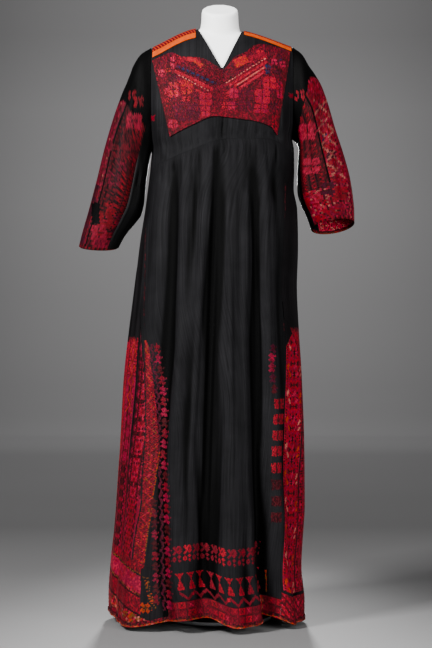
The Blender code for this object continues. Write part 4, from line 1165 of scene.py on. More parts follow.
# Chest panel: x, height of its lower and of its upper edge
CHEST_LOWER = ((-0.117, 1.1565), (-0.062, 1.1830), (-0.0099, 1.2022), (0.0297, 1.1982),
               (0.0803, 1.1922), (0.1195, 1.1805), (0.136, 1.1600))
CHEST_UPPER = ((-0.160, 1.3440), (-0.1117, 1.3600), (-0.090, 1.3480), (-0.045, 1.3440), (-0.0048, 1.3220),
               (0.0068, 1.3150), (0.018, 1.3220), (0.035, 1.3450), (0.064, 1.3600), (0.081, 1.3755),
               (0.1025, 1.3820), (0.1455, 1.3740), (0.170, 1.3660))
CHEST_LAY_GAP = 0.00095   # space under the chest panel
CHEST_STITCH = 0.0021     # width of one of its stitches, finer than on the dress
CHEST_SIZE = (0.320, 0.190)    # usual width and height
CHEST_EDGING = 0.013      # width of the redder work beside the panel's left and right edges


def chest_surface(across, up):
    """Point of the chest panel, by the share of the way across it and up."""
    low_x = CHEST_LOWER[0][0] + across * (CHEST_LOWER[-1][0] - CHEST_LOWER[0][0])
    high_x = CHEST_UPPER[0][0] + across * (CHEST_UPPER[-1][0] - CHEST_UPPER[0][0])
    low_z, high_z = along(CHEST_LOWER, 1, low_x), along(CHEST_UPPER, 1, high_x)
    return on_front(low_x + up * (high_x - low_x), low_z + up * (high_z - low_z))


# Squares of four petals: x and height of the middle, width, height, threads, size of their diamonds
CHEST_BLOCKS = [
    (-140, 1309, 21, 19, "lmlk", 2), (-122, 1316, 14, 9, "orkk", 1),
    (-111, 1334, 8, 30, "llmk", 1), (-77, 1349, 47, 14, "kcrk", 2),
    (-108, 1267, 23, 36, "lorlrk", 2), (-125, 1263, 12, 18, "rrlk", 2),
    (-121, 1238, 12, 19, "rrk", 2), (-77, 1273, 28, 34, "orrcrk", 2),
    (-77, 1244, 20, 10, "rrk", 2), (-32, 1243, 28, 30, "mrrmr", 2),
    (-32, 1214, 20, 24, "mrrm", 2), (-108, 1186, 22, 19, "lmrm", 2),
    (-75, 1212, 58, 40, "vvkvkc", 2), (-155, 1309, 23, 47, "kckd", 2),
    (97, 1355, 19, 19, "rrrc", 2), (114, 1317, 13, 23, "bbvb", 1),
    (144, 1341, 7, 10, "bbv", 1), (130, 1337, 14, 14, "mmlm", 2),
    (150, 1332, 14, 16, "mmlm", 2), (119, 1284, 30, 30, "rmrrr", 2),
    (142, 1268, 13, 40, "mrrmk", 2), (101, 1251, 36, 34, "mrmr", 2),
    (97, 1221, 36, 21, "rmrm", 2), (34, 1257, 21, 23, "mrmm", 2),
    (18, 1254, 13, 21, "rck", 2), (29, 1227, 17, 20, "mmvr", 2),
    (13, 1227, 13, 21, "rrck", 2), (64, 1240, 36, 52, "vkvkc", 2),
    (130, 1232, 21, 24, "vkcd", 2), (130, 1191, 14, 36, "rcrk", 2),
]
# Rays that run in to the point of the neck: two points, half width, threads, and the stitches of a dash
# and of the dash with its gap
CHEST_RAYS = [
    ((-101, 1323), (-7, 1279), 4.8, "dvkd", 9, 9), ((-100, 1324), (-8, 1280), 2.8, "bbvb", 4, 6),
    ((-106, 1313), (-14, 1265), 4, "crr", 9, 9), ((-104, 1314), (-14, 1267), 1.2, "lr", 2, 5),
    ((-95, 1302), (-22, 1261), 2.8, "cck", 9, 9), ((-95, 1302), (-22, 1261), 1, "p", 2, 4),
    ((-100, 1289), (-36, 1256), 2.4, "rrc", 9, 12),
    ((14, 1277), (114, 1347), 3, "cck", 9, 9), ((15, 1281), (110, 1344), 1.1, "p", 2, 4),
    ((24, 1276), (112, 1336), 3.4, "crr", 9, 9), ((26, 1277), (108, 1331), 1.1, "l", 2, 6),
    ((36, 1274), (108, 1322), 3.2, "rrr", 9, 9), ((42, 1277), (106, 1321), 1, "p", 9, 9),
    ((47, 1269), (108, 1312), 3.4, "rcr", 9, 9), ((50, 1272), (106, 1310), 1, "l", 9, 11),
    ((60, 1268), (103, 1297), 2.6, "kcd", 9, 9), ((37, 1328), (66, 1343), 10.5, "rorr", 9, 9),
    ((70, 1339), (110, 1355), 8, "ccrck", 9, 9), ((-100, 1335), (-76, 1341), 5, "ckc", 9, 9),
    ((-76, 1341), (-55, 1338), 5.5, "rrr", 9, 9), ((-58, 1338), (-41, 1322), 5, "ror", 9, 9),
    ((-36, 1330), (-33, 1310), 5, "gckd", 1, 3),
]


def chest_embroidery(across, rows):
    """The whole chest panel's chart: its ground, the squares on it, then the rays."""
    spots = middles(chest_surface, across, rows)
    x, z, _ = spots
    chart = new_chart(*x.shape)
    # The ground is brownish red and maroon, redder round the edges and mauve in the middle.
    fill(chart, chart == 0, "kkcdkcv", 2, seed=1)
    from_side = np.minimum(across[1:], 1 - across[:-1]) * CHEST_SIZE[0] + 0 * x
    fill(chart, from_side < CHEST_EDGING, "kkck", 2, seed=2)
    fill(chart, (rows[:-1] < 0.15)[:, None] & (from_side > 0), "kckkc", 3, seed=3)
    for number, (*sizes, threads, size) in enumerate(CHEST_BLOCKS):
        block_x, block_z, width, height = np.multiply(sizes, MM)
        off_x, off_z = np.abs(x - block_x) / width * 2, np.abs(z - block_z) / height * 2
        in_block = (off_x < 1) & (off_z < 1) & (off_x + off_z < 1.75)
        fill(chart, in_block, threads, size, seed=number)
        fill(chart, in_block & (np.minimum(off_x * width, off_z * height) < 0.0016), "dk", 1)
    for number, (start, end, half_width, threads, dash, turn) in enumerate(CHEST_RAYS):
        on_ray, way = near_line(spots, np.multiply(start, MM), np.multiply(end, MM), half_width * MM)
        fill(chart, on_ray & ((way / CHEST_STITCH) % turn < dash), threads, 2, seed=number)
    return chart


chest_across = np.linspace(0, 1, int(CHEST_SIZE[0] / CHEST_STITCH))
chest_rows = np.linspace(0, 1, int(CHEST_SIZE[1] / CHEST_STITCH))
chest_chart = chest_embroidery(chest_across, chest_rows)
chest_cloth = embroidered_material("chest_embroidery", (0.0045, 0.0006, 0.0010))
chest = cloth_shell("chest_panel", chest_surface, chest_across, chest_rows,
                    lay_gap=CHEST_LAY_GAP, threads=worked(chest_chart, seed=8))
sew(chest, chest_cloth)

# ---------------------------------------------------------------- the back
# One long piece from the hem to the shoulders, with a shallow round scoop at the neck. Rows like the
# front's are worked over its hem and a branch column up each seam.

SIDE_TOP = {side: float(front_bodice(np.array([end]), np.array([0.0]))[0, 2])
            for side, end in (("left", 0.0), ("right", 1.0))}


def armhole_height(side, angle):
    """Height of the armhole's lower edge over the side panel at this angle."""
    heights = np.linspace(ARMPIT[side], ARMPIT[side] + 0.06, 61)
    edge = np.abs(angle_of(ARMHOLE[side], heights))
    from_front = 90.0 - np.abs(90.0 - np.abs(angle))
    return np.interp(-from_front, -edge, heights)


def gore_width(side, up):
    """Degrees between the front seam and the side panel, nothing above the gore's point."""
    width = along(GORE_WIDTH[side], 1, up)
    return np.where(up > (GORE_ROWS + 0.5) / SKIRT_ROWS, 0.0, width)


def side_height(side, edge_angle, up):
    """Height of a row of the side pieces: 0 the hem, 1 level with the tucked seam, 2 the armhole."""
    hem = hem_height(edge_angle(HEM_LEVEL, 0.0))
    low = hem + (SIDE_TOP[side] - hem) * np.minimum(up, 1)
    arm = armhole_height(side, edge_angle(SIDE_TOP[side], 1.0))
    return low + (arm - SIDE_TOP[side]) * np.maximum(up - 1, 0)


def gore(side, across, up):
    """The pointed gore behind the front seam."""
    def angle_at(height, row):
        return along(FRONT_SEAM[side], 1, height) + OUTWARD[side] * across * gore_width(side, row)

    height = side_height(side, angle_at, up)
    return body(angle_at(height, up), height)


def side_panel(side, across, up):
    """The panel round the side, from the gore to the back seam."""
    def angle_at(height, row):
        front_edge = along(FRONT_SEAM[side], 1, height) + OUTWARD[side] * gore_width(side, row)
        return front_edge + across * (along(BACK_SEAM[side], 1, height) - front_edge)

    height = side_height(side, angle_at, up)
    return body(angle_at(height, up), height)


def back_panel(across, up):
    """The long back: across from the right side to the left, up 0 to 1 the skirt, 1 to 2 the bodice."""
    def angle_at(height):
        right = np.maximum(along(BACK_SEAM["right"], 1, height), 180.0 - armhole_angle("right", height))
        left = np.minimum(along(BACK_SEAM["left"], 1, height) + 360.0, 180.0 + armhole_angle("left", height))
        return right + across * (left - right)

    side_top = SIDE_TOP["right"] + across * (SIDE_TOP["left"] - SIDE_TOP["right"])
    hem = hem_height(angle_at(np.full_like(across, HEM_LEVEL)))
    top = np.full_like(across, SHOULDER_HEIGHT)
    for _ in range(12):
        x = body(angle_at(top), top)[..., 0]
        top = along(SHOULDERS, 1, x) - back_neck_drop(x)
    low = hem + (side_top - hem) * np.minimum(up, 1)
    height = low + (top - side_top) * (1 - (1 - np.maximum(up - 1, 0)) ** 2)
    return body(angle_at(height), height)


def back_neck_drop(x):
    """How far the back's top edge lies under the shoulder line: a round scoop at the neck."""
    middle = (NECK_LEFT + NECK_RIGHT) / 2
    share = np.clip(np.abs(x - middle) / ((NECK_RIGHT - NECK_LEFT) / 2), 0, 1)
    return BACK_NECK_DROP * (1 - share ** 2) ** 1.7


BACK_COLUMNS = 190
BACK_SKIRT = 1.09         # usual height of the level of the tucked seam over the hem, behind
back_across = even_columns(back_panel, BACK_COLUMNS, EVEN_AT)
back_low = skirt_rows(BACK_SKIRT, worked_up_to=0.24, plain=0.0065)
back_rows = np.concatenate([back_low, 1 + shoulder_rows(46)[1:]])
BACK_CREASES = [
    (1, 120, 1080, 128, 350, 12, -3), (1, 70, 1100, 52, 300, 12, 3),
    (1, 30, 1180, 12, 500, 12, -3), (1, -20, 1150, -36, 350, 11, 3),
    (1, -66, 1160, -84, 400, 12, -3.2), (1, -110, 1100, -126, 420, 12, 2.8),
    (1, -125, 1280, -140, 1020, 12, 3), (1, 125, 1290, 142, 1020, 12, 3.2),
    (1, -80, 1350, -100, 1120, 10, -2.2), (1, 80, 1350, 96, 1130, 10, -2.2),
    (1, 94, 620, 82, 60, 12, 3.2), (1, -6, 560, 18, 60, 12, -3),
    (1, -104, 640, -92, 60, 12, -3), (1, -150, 700, -158, 100, 12, 2.6),
]


def back_embroidery(rows, columns):
    """Rows over the hem behind, then a column of branches beside each seam."""
    chart = new_chart(rows, columns)
    figured(chart[3:18], "kkc", 8, 2, seed=1)
    repeat(chart[3:18, 2:], BLOCK, (8, 9), ["cr", "rk", "cr", "cl"])
    plain(chart[18:19], "d")
    zigzag(chart[:, 16:-14], 20, 7, 15, 2.2, "c")
    repeat(chart[30:48, 20:-18], TASSEL, (40, 12), ["rc", "rl", "rc", "cr"])
    repeat(chart[56:72, 20:-18], LEAF_PAIR, (40, 12), ["rc", "rk", "rm", "rc"])
    repeat(chart[4:94, 4:12], BRANCH, (10, 60), ["mvl"])
    repeat(chart[4:94, -12:-4], BRANCH, (10, 60), ["mvc"])
    return chart


back_chart = back_embroidery(len(back_rows) - 1, BACK_COLUMNS)
back = cloth_shell("back_panel", back_panel, back_across, back_rows,
                   threads=worked(back_chart, seed=13), push=creases(BACK_CREASES))
sew(back, black_cloth)

# ---------------------------------------------------------------- the gores and the side panels
# On each side a panel covered with embroidery runs from the armpit to the hem, and a pointed gore is let in
# before it, to widen the skirt. Black seams part the bands of embroidery.

# Heights of the dark bars across the left gore, and half the width of each
GORE_BARS = (0.631, 0.605, 0.578, 0.530, 0.488, 0.455, 0.402, 0.338)
GORE_BAR_HALF = 0.0045
FOOT_ROWS_END = -0.183    # x at which the slanted rows stop, all but the lowest
LAST_ROW_END = -0.15
# Gold zigzag: x and height of its upper end, half the width of its line, and its turns
SCRIBBLE_TOP = (-0.178, 0.126)
SCRIBBLE_LINE = 0.0017
SCRIBBLE_TURNS = 9
# Two chains of long flecks: a and b in one, c in the other
FLECKS = ("....a..........b.......... ...aa.........bb.......... ..aaa........bbb.......... "
          "..aaa.......bbbb......cc.. ..aa........bbb.......cc.. ..aa........bb.......ccc.. "
          "...a.........b.......cc... ....................cc.... .....a...........b........ "
          ".....aa..........bb....... .....aaa........bbb...cc.. ......aa.......bbb...ccc.. "
          "......aa.......bb....cc...")
# Slanted rows: height of each at x = -0.214, half its width, threads, size of its diamonds
FOOT_ROWS = (
    (0.158, 0.0110, "crckc", 2), (0.1455, 0.0024, "dg.dg", 1), (0.122, 0.0200, "mlrmlm", 3),
    (0.099, 0.0026, "kgkglk", 1), (0.094, 0.0024, "dd", 1), (0.072, 0.0205, "crckc", 2),
    (0.052, 0.0026, "dd", 1), (0.034, 0.0150, "rcklrkcogpc", 3),
)


def gore_grid(side, rows):
    """Columns of a gore in real stitches, cut off where it ends.

    The left one's are counted from its outer seam and the right one's from its front seam.
    """
    full = np.linalg.norm(np.diff(gore(side, np.linspace(0, 1, 60)[None, :].repeat(len(rows), 0),
                                       rows[:, None].repeat(60, 1)), axis=1), axis=-1).sum(axis=1)
    counts = np.arange(int(full.max() / STITCH) + 2)
    share = np.minimum(counts[None, :] * STITCH / np.maximum(full, 1e-6)[:, None], 1.0)
    return 1 - share[:, ::-1] if side == "left" else share


def left_gore_chart(spots):
    """Bands from the outer seam forwards, then the rows that cross the foot of the gore."""
    x, z, _ = spots
    chart = new_chart(*x.shape)
    outer = chart[:, ::-1]
    figured(outer[:, 2:34], "mcmkrlcvd", 11, 3, seed=4)
    figured(outer[:120, 2:34], "rmkcmrdk", 9, 3, seed=5)
    for level in GORE_BARS:
        fill(chart, (np.abs(z - level) < GORE_BAR_HALF) & (np.arange(x.shape[1]) % 9 > 2), "dk", 2)
    chart[x > along(BAND_LEFT, 1, z) - 0.003] = 0
    work_left_band(chart, spots)
    for number, level in enumerate(np.arange(0.074, 0.300, BLOSSOM_STEP)):
        middle = along(BLOSSOM_WAY, 1, level) + SIDE_BLOSSOM_X
        work_at(chart, spots, BLOOM, middle, level, SIDE_BLOSSOM_THREADS[number % 4])
    work_foot(chart, spots)
    # Bare black cloth between the slanted rows and the front seam.
    chart[(x > FOOT_ROWS_END) & (x < -0.157) & (z > 0.045) & (foot_level(spots) < 0.146)] = 0
    work_scribble(chart, spots)
    work_at(chart, spots, SMALL_ROSETTE, -0.172, 0.055, "og")
    return chart


def foot_level(spots):
    """Height at x = -0.214 of the slanted line through each stitch."""
    return spots[1] + 0.5 * (spots[0] + 0.214)


def work_foot(chart, spots):
    """Slanted rows across the foot of the left side, on its front and its back."""
    for number, (level, half, threads, size) in enumerate(FOOT_ROWS):
        reach = spots[0] < (FOOT_ROWS_END if level > 0.05 else LAST_ROW_END)
        fill(chart, (np.abs(foot_level(spots) - level) < half) & reach, threads, size, seed=number)


def work_scribble(chart, spots):
    """The fine gold zigzag beside the foot of the front seam."""
    for number in range(SCRIBBLE_TURNS):
        x, z = SCRIBBLE_TOP[0] + number * 0.0022, SCRIBBLE_TOP[1] - number * 0.0085
        left, right, next_left = (x, z), (x + 0.013, z - 0.003), (x + 0.003, z - 0.0075)
        for start, end in ((left, right), (right, next_left)):
            fill(chart, near_line(spots, start, end, SCRIBBLE_LINE)[0], "gg.o.", 1, seed=number)


def right_gore_chart(spots):
    """Bands from the front seam outwards: two chains of long flecks on red, then narrower bands."""
    chart = new_chart(*spots[0].shape)
    figured(chart[:, 2:28], "rrlcrrmkrd", 20, 3, seed=7)
    repeat(chart[:, 2:28], FLECKS, (25, 40), ["plo", "olp"], start=(3, 0))
    figured(chart[:, 30:48], "rlkrcmrd", 12, 3, seed=8)
    figured(chart[:, 50:], "mrlcrk", 10, 3, seed=9)
    # The work ends at a slanted line up the seam.
    chart[spots[1] > 0.652 + 2.08 * (spots[0] - 0.155)] = 0
    work_right_hem(chart)
    return chart


def side_chart(side, rows, columns):
    """Bands of a side panel, from the gore round to the back."""
    chart = new_chart(rows, columns)
    starts = (2, 21, 40, 58, 77, 95)
    if side == "left":
        starts = (39, 57, 76, 94)
        for low, high, threads, period in ((0, 150, "ckcmkcd", 12), (150, 236, "mkcmrkm", 12),
                                           (236, rows, "rkclrck", 14)):
            figured(chart[low:high, 2:37], threads, period, 3, seed=low)
        net(chart[200:, 6:33], 30, "o", 1.1)
    looks = (("rrkrcr", 11), ("mrcmc", 12), ("rcrcrk", 9), ("kcrkc", 10), ("mrmcr", 12), ("rcrc", 9))
    for number, start in enumerate(starts):
        threads, period = looks[number % len(looks)]
        part = chart[:, start:start + 17]
        figured(part, threads, period, 2, seed=15 + number)
        if number % 2:
            repeat(part, STAR, (18, 40), ["rokg", "mkro"], start=(2, 1))
    # The top of the work is ragged.
    ragged = 268 + (np.arange(columns) * 7 // 5) % 6
    chart[np.arange(rows)[:, None] > ragged[None, :]] = 0
    return chart


def work_right_hem(chart):
    """Chevrons of maroon on crimson under a black line."""
    figured(chart[1:26], "crlckr", 14, 2, seed=42)
    for row in range(-2, 24, 7):
        zigzag(chart[1:25], row, 9, 22, 2.2, "k")
    chart[25:28] = 0


SIDE_CREASES = {
    "left": [(-1, -205, 900, -232, 380, 14, -3.4), (1, -196, 850, -226, 300, 14, 3.4),
             (-1, -240, 420, -252, 60, 14, 3), (1, -236, 400, -246, 60, 14, -3.2)],
    "right": [(-1, 184, 900, 196, 350, 14, 3.4), (1, 186, 850, 196, 300, 14, -3.4),
              (-1, 192, 400, 196, 60, 14, -3), (1, 186, 420, 190, 60, 14, 3.2)],
}
# A factor on each gore's thread colours; the left one's are darker.
GORE_COLOUR_GAIN = {"left": 0.72, "right": 1.0}
SIDE_RISE = 1.10          # usual height of the level of the tucked seam over the hem, at the sides
ARMPIT_RISE = 0.075       # from that level to the armhole
PANEL_WORKED_UP_TO = 0.80
PANEL_PLAIN_CELL = 0.0045
PANEL_COLUMNS = 112
PANEL_EVEN_AT = 0.45      # share of the way up at which the panels' columns are even
gore_rows = np.arange(0, (GORE_ROWS / SKIRT_ROWS) * SIDE_RISE, STITCH) / SIDE_RISE
panel_rows = np.concatenate([
    skirt_rows(SIDE_RISE, worked_up_to=PANEL_WORKED_UP_TO, plain=PANEL_PLAIN_CELL),
    np.linspace(1, 2, int(ARMPIT_RISE / PANEL_PLAIN_CELL))[1:],
])
red_panel_cloth = embroidered_material("side_panel_embroidery", (0.0028, 0.0024, 0.0027))
for side, outward in OUTWARD.items():
    gore_columns = gore_grid(side, gore_rows)
    gore_surface = partial(gore, side)
    draw_gore = left_gore_chart if side == "left" else right_gore_chart
    chart = draw_gore(middles(gore_surface, gore_columns, gore_rows))
    piece = cloth_shell("gore_" + side, gore_surface, gore_columns, gore_rows, outward,
                        threads=worked(chart, seed=21, colour_gain=GORE_COLOUR_GAIN[side]),
                        push=creases(SIDE_CREASES[side]), weld=True)
    sew(piece, red_panel_cloth)

    panel_surface = partial(side_panel, side)
    panel_columns = even_columns(panel_surface, PANEL_COLUMNS, PANEL_EVEN_AT)
    panel_chart = side_chart(side, len(panel_rows) - 1, len(panel_columns) - 1)
    if side == "left":
        work_foot(panel_chart, middles(panel_surface, panel_columns, panel_rows))
    else:
        work_right_hem(panel_chart)
    piece = cloth_shell("side_panel_" + side, panel_surface, panel_columns, panel_rows, outward,
                        threads=worked(panel_chart, seed=29), push=creases(SIDE_CREASES[side]))
    sew(piece, red_panel_cloth)

# ---------------------------------------------------------------- the sleeves
# Each sleeve is a long embroidered panel round its outside and a plain black one under the arm.
# Both are sewn flat and then into the armhole, so the head stands out a little from it.

# Sleeves, section by section from the armhole to the cuff: place, inner x and z, outer x and z,
# depth in front and behind, lift of the front edge over the back edge
SLEEVES = {
    "left": (
        (0.0, -0.1635, 1.1340, -0.1635, 1.3795, 0.064, 0.060, 0.000),
        (1.0, -0.1685, 1.1180, -0.1880, 1.3640, 0.071, 0.066, 0.000),
        (2.0, -0.1720, 1.1000, -0.2045, 1.3400, 0.072, 0.067, 0.000),
        (3.0, -0.1750, 1.0780, -0.2180, 1.3080, 0.069, 0.065, 0.000),
        (4.0, -0.1785, 1.0550, -0.2357, 1.2640, 0.066, 0.062, 0.000),
        (5.0, -0.1815, 1.0300, -0.2540, 1.2130, 0.061, 0.058, 0.000),
        (6.0, -0.1840, 1.0050, -0.2755, 1.1400, 0.059, 0.057, 0.000),
        (7.0, -0.1900, 0.9780, -0.2965, 1.0550, 0.056, 0.055, 0.000),
        (8.0, -0.2065, 0.9550, -0.3140, 0.9890, 0.050, 0.050, -0.002),
        (9.0, -0.2290, 0.9270, -0.3310, 0.9300, 0.042, 0.042, -0.005),
        (10.0, -0.2460, 0.8960, -0.3385, 0.9000, 0.035, 0.035, -0.009),
    ),
    "right": (
        (0.0, 0.1767, 1.1600, 0.1767, 1.3810, 0.064, 0.060, 0.000),
        (1.0, 0.1890, 1.1500, 0.1985, 1.3640, 0.071, 0.066, 0.000),
        (2.0, 0.1935, 1.1360, 0.2160, 1.3350, 0.072, 0.067, 0.000),
        (3.0, 0.1925, 1.1180, 0.2390, 1.3030, 0.070, 0.065, 0.000),
        (4.0, 0.1910, 1.0970, 0.2585, 1.2540, 0.067, 0.062, 0.000),
        (5.0, 0.1900, 1.0750, 0.2795, 1.1830, 0.063, 0.060, 0.000),
        (6.0, 0.1905, 1.0520, 0.2995, 1.1220, 0.061, 0.059, 0.000),
        (7.0, 0.1925, 1.0290, 0.3145, 1.0660, 0.058, 0.057, 0.002),
        (8.0, 0.1990, 1.0030, 0.3220, 1.0180, 0.053, 0.053, 0.005),
        (9.0, 0.2130, 0.9730, 0.3250, 0.9860, 0.046, 0.046, 0.010),
        (10.0, 0.2240, 0.9420, 0.3255, 0.9560, 0.038, 0.038, 0.016),
    ),
}
SLEEVE_POWER = 2.2        # how square the sleeves' sections are
SLEEVE_BLEND = 1.6        # section by which the armhole's shape has turned into the sleeve's
# Angles round the sleeve (0 outer line, 90 front, 180 inner line) of the under panel's two seams
UNDER_PANEL = {"left": (117.0, 245.0), "right": (150.0, 235.0)}
# Creases along the sleeves: angle, half width, and depths in millimetres at sections 2, 5, 8 and 10
SLEEVE_CREASE_PLACES = (2.0, 5.0, 8.0, 10.0)
SLEEVE_CREASES = {
    "left": ((62, 26, (-2, -5, -3, 0)), (122, 24, (-1, -6, -5, 0)), (250, 30, (-2, -6, -4, 0))),
    "right": ((55, 24, (-1, -4, -3, 0)), (112, 22, (-1, -5, -4, 0)), (248, 30, (-2, -6, -4, 0))),
}
CUFF_BINDING = 9.78       # place along the sleeve where the cuff's binding begins
HEM_BINDING = 0.011       # height of the hem's binding
HEM_LAY_GAP = 0.0010      # space under it, enough to clear the deep folds


def armhole(side, angle):
    """Point of the armhole's edge, by the angle round the sleeve."""
    x = ARMHOLE[side] + ARMHOLE_GAP * OUTWARD[side]
    top = along(SHOULDERS, 1, ARMHOLE[side])
    middle, half = (top + ARMPIT[side]) / 2, (top - ARMPIT[side]) / 2
    height = middle + half * np.cos(np.radians(angle))
    front = angle_of(ARMHOLE[side], height)
    in_front = np.sin(np.radians(angle)) >= 0
    edge = body(np.where(in_front, front, 180.0 - front), height)
    return np.stack(np.broadcast_arrays(x, edge[..., 1], height), axis=-1)


def sleeve(side, angle, place):
    """Point on the outside of a sleeve, by the angle round it and the place along it."""
    head = armhole(side, angle) - hanging_sleeve(side, angle, np.zeros_like(place))
    hanging = smooth_to(place, SLEEVE_BLEND)[..., None]
    return hanging_sleeve(side, angle, place) + head * (1 - hanging)


def hanging_sleeve(side, angle, place):
    """Point on the outside of a sleeve's own sections, before its head is fitted to the armhole."""
    rows = SLEEVES[side]
    inner_x, inner_z, outer_x, outer_z, front, back, lift = (along(rows, k, place) for k in range(1, 8))
    sine, cosine = np.sin(np.radians(angle)), np.cos(np.radians(angle))
    squared = signed_power(sine, 2 / SLEEVE_POWER)
    push = np.zeros(np.broadcast(angle, place).shape)
    for centre, half_width, depths in SLEEVE_CREASES[side]:
        depth = along(tuple(zip(SLEEVE_CREASE_PLACES, depths)), 1, place) * MM
        push = push + depth * bump(turn_between(angle, centre) / half_width)
    reach = np.hypot(outer_x - inner_x, outer_z - inner_z) / 2
    x = (inner_x + outer_x) / 2 + (outer_x - inner_x) / 2 * cosine * (1 + push / reach)
    y = -(np.where(sine > 0, front, back) + push) * squared
    z = (inner_z + outer_z) / 2 + (outer_z - inner_z) / 2 * cosine * (1 + push / reach) + lift * sine
    return np.stack(np.broadcast_arrays(x, y, z), axis=-1)


SLEEVE_STITCH = 0.0026    # height of a stitch on the sleeves
UNDER_CELL = 0.004        # height of a cell of the under panels, and the degrees that its width takes
UNDER_TURN = 3.4
SLEEVE_COLUMNS = {"left": 110, "right": 122}
# Painted light on the sleeves: their thread colours are painted lighter, the right one's most, in place of
# light that falls less on them.
SLEEVE_PAINTED_LIGHT = {"left": 1.3, "right": 2.0}
# Blocks near the left cuff, one bare and one rose: x and height of the middle, half the width and the
# height, and threads
CUFF_BLOCKS = (((-0.297, 0.978, 0.010, 0.026), "."), ((-0.277, 0.9015, 0.029, 0.0095), "lmml"))


def sleeve_places(side, cell):
    """Places along a sleeve that are this far apart on its outer line."""
    place = np.linspace(0, 10, 401)
    outer = sleeve(side, np.zeros_like(place), place)
    length = np.concatenate([[0], np.cumsum(np.linalg.norm(np.diff(outer, axis=0), axis=1))])
    return np.interp(np.arange(0, length[-1], cell), length, place)


# Bands of each sleeve: first column, last column, first row, last row, threads, period, size of diamonds
SLEEVE_BANDS = {
    "left": (
        (0, 17, 0, 199, "kcrkd", 11, 2), (19, 35, 0, 199, "mkvcd", 12, 2),
        (37, 53, 0, 199, "ckdkc", 9, 2), (55, 76, 60, 199, "mcvkmcl", 12, 2),
        (55, 76, 0, 60, "vmvkcr", 13, 2), (77, 93, 0, 199, "kckdc", 10, 2), (94, 110, 0, 199, "kckdr", 9, 2),
    ),
    "right": (
        (0, 17, 0, 177, "rcrkc", 11, 2), (19, 37, 0, 177, "mrmcm", 12, 2),
        (39, 57, 0, 177, "crkrc", 9, 2), (59, 89, 38, 177, "rlrmrlcr", 14, 2),
        (91, 122, 0, 177, "kckdckr", 11, 2), (0, 122, 0, 38, "rlpkrlmk", 12, 1),
    ),
}
# Motifs of the fronts: x and height of the middle, motif, threads
SLEEVE_MOTIFS = {
    "left": (
        (-209, 1260, "small", "rl"), (-193, 1244, "small", "rc"), (-204, 1197, "blossom", "lmkl"),
        (-239, 1128, "block", "ckkd"), (-214, 1126, "block", "ckkd"), (-204, 1150, "small", "ck"),
        (-232, 1090, "small", "mk"), (-210, 1085, "star", "kckd"), (-252, 1060, "star", "mkvd"),
        (-276, 964, "blossom", "rlkp"), (-262, 992, "small", "rl"), (-290, 930, "blossom", "lrkp"),
        (-266, 925, "small", "lr"), (-236, 960, "star", "mvkm"), (-246, 925, "star", "vmkm"),
        (-282, 898, "block", "lrrk"), (-262, 896, "block", "lmrk"),
    ),
    "right": (
        (193, 1260, "small", "rl"), (211, 1173, "blossom", "lrkr"), (221, 1091, "blossom", "lrkr"),
        (218, 1132, "small", "ck"), (237, 1011, "vase", "lrkl"), (202, 996, "block", "rrcr"),
        (206, 1018, "small", "rr"), (289, 1026, "block", "rrrc"), (262, 1036, "star", "vkmv"),
        (262, 975, "star", "rmkl"), (285, 985, "star", "mrkl"), (228, 958, "star", "rckl"),
        (250, 935, "star", "rmkl"), (205, 962, "star", "rkcl"), (275, 950, "blossom", "mrkl"),
    ),
}
# Top of the embroidery: x and height where it meets the outer line, and its slope towards the armhole
SLEEVE_TOPS = {"left": (-0.230, 1.248, -1.2), "right": (0.216, 1.304, 4.75)}
MOTIFS = {"small": SMALL_ROSETTE, "blossom": BLOSSOM, "block": PETAL_BLOCK, "star": STAR, "vase": VASE}

# Net on the right sleeve: x and height of its left edge at each crossing, its width and its lines' half width
NET_POINTS = ((0.2218, 1.2520), (0.2281, 1.2144), (0.2359, 1.1768), (0.2453, 1.1390), (0.2558, 1.0979),
              (0.2652, 1.0627))
NET_WIDTH = 0.0380
NET_LINE = 0.0022


def work_net(chart, spots):
    """Pale crossed lines down the outer band of the right sleeve, with a rosette in each opening."""
    for number, (start, end) in enumerate(zip(NET_POINTS[:-1], NET_POINTS[1:])):
        middle = np.add(start, end) / 2 + (NET_WIDTH / 2, 0)
        work_at(chart, spots, SMALL_ROSETTE, *middle, ("vm", "mk", "bv")[number % 3])
        for near, far in ((0, NET_WIDTH), (NET_WIDTH, 0)):
            from_here, to_there = (start[0] + near, start[1]), (end[0] + far, end[1])
            fill(chart, near_line(spots, from_here, to_there, NET_LINE)[0], "ppl", 1, seed=number)


def sleeve_chart(side, surface, columns, rows):
    """Bands round a sleeve from its back seam to its front one, with larger motifs on its front."""
    chart = new_chart(len(rows) - 1, len(columns) - 1)
    for number, (start, end, low, high, threads, period, size) in enumerate(SLEEVE_BANDS[side]):
        figured(chart[low:high, start:end], threads, period, size, seed=50 + number)
    if side == "left":
        repeat(chart[60:186, 57:76], "a......a.......a ..a........a....", (9, 30), ["l", "p"])
    repeat(chart[:170, 38:53], STAR, (18, 30), ["rckl", "mkcr"], start=(2, 0))
    spots = middles(surface, columns, rows)
    x, z, on_front = spots
    top_x, top_z, slope = SLEEVE_TOPS[side]
    chart[z > top_z + np.minimum(slope * (x - top_x), 0)] = 0
    for motif_x, motif_z, motif, threads in SLEEVE_MOTIFS[side]:
        work_at(chart, spots, MOTIFS[motif], motif_x * MM, motif_z * MM, threads)
    if side == "left":
        for (block_x, block_z, half_width, half_height), threads in CUFF_BLOCKS:
            in_block = (np.abs(x - block_x) < half_width) & (np.abs(z - block_z) < half_height)
            fill(chart, in_block & on_front, threads, 1)
    else:
        work_net(chart, spots)
    repeat(chart[:3], "aab", (3, 3), ["rd", "ck"])
    return chart


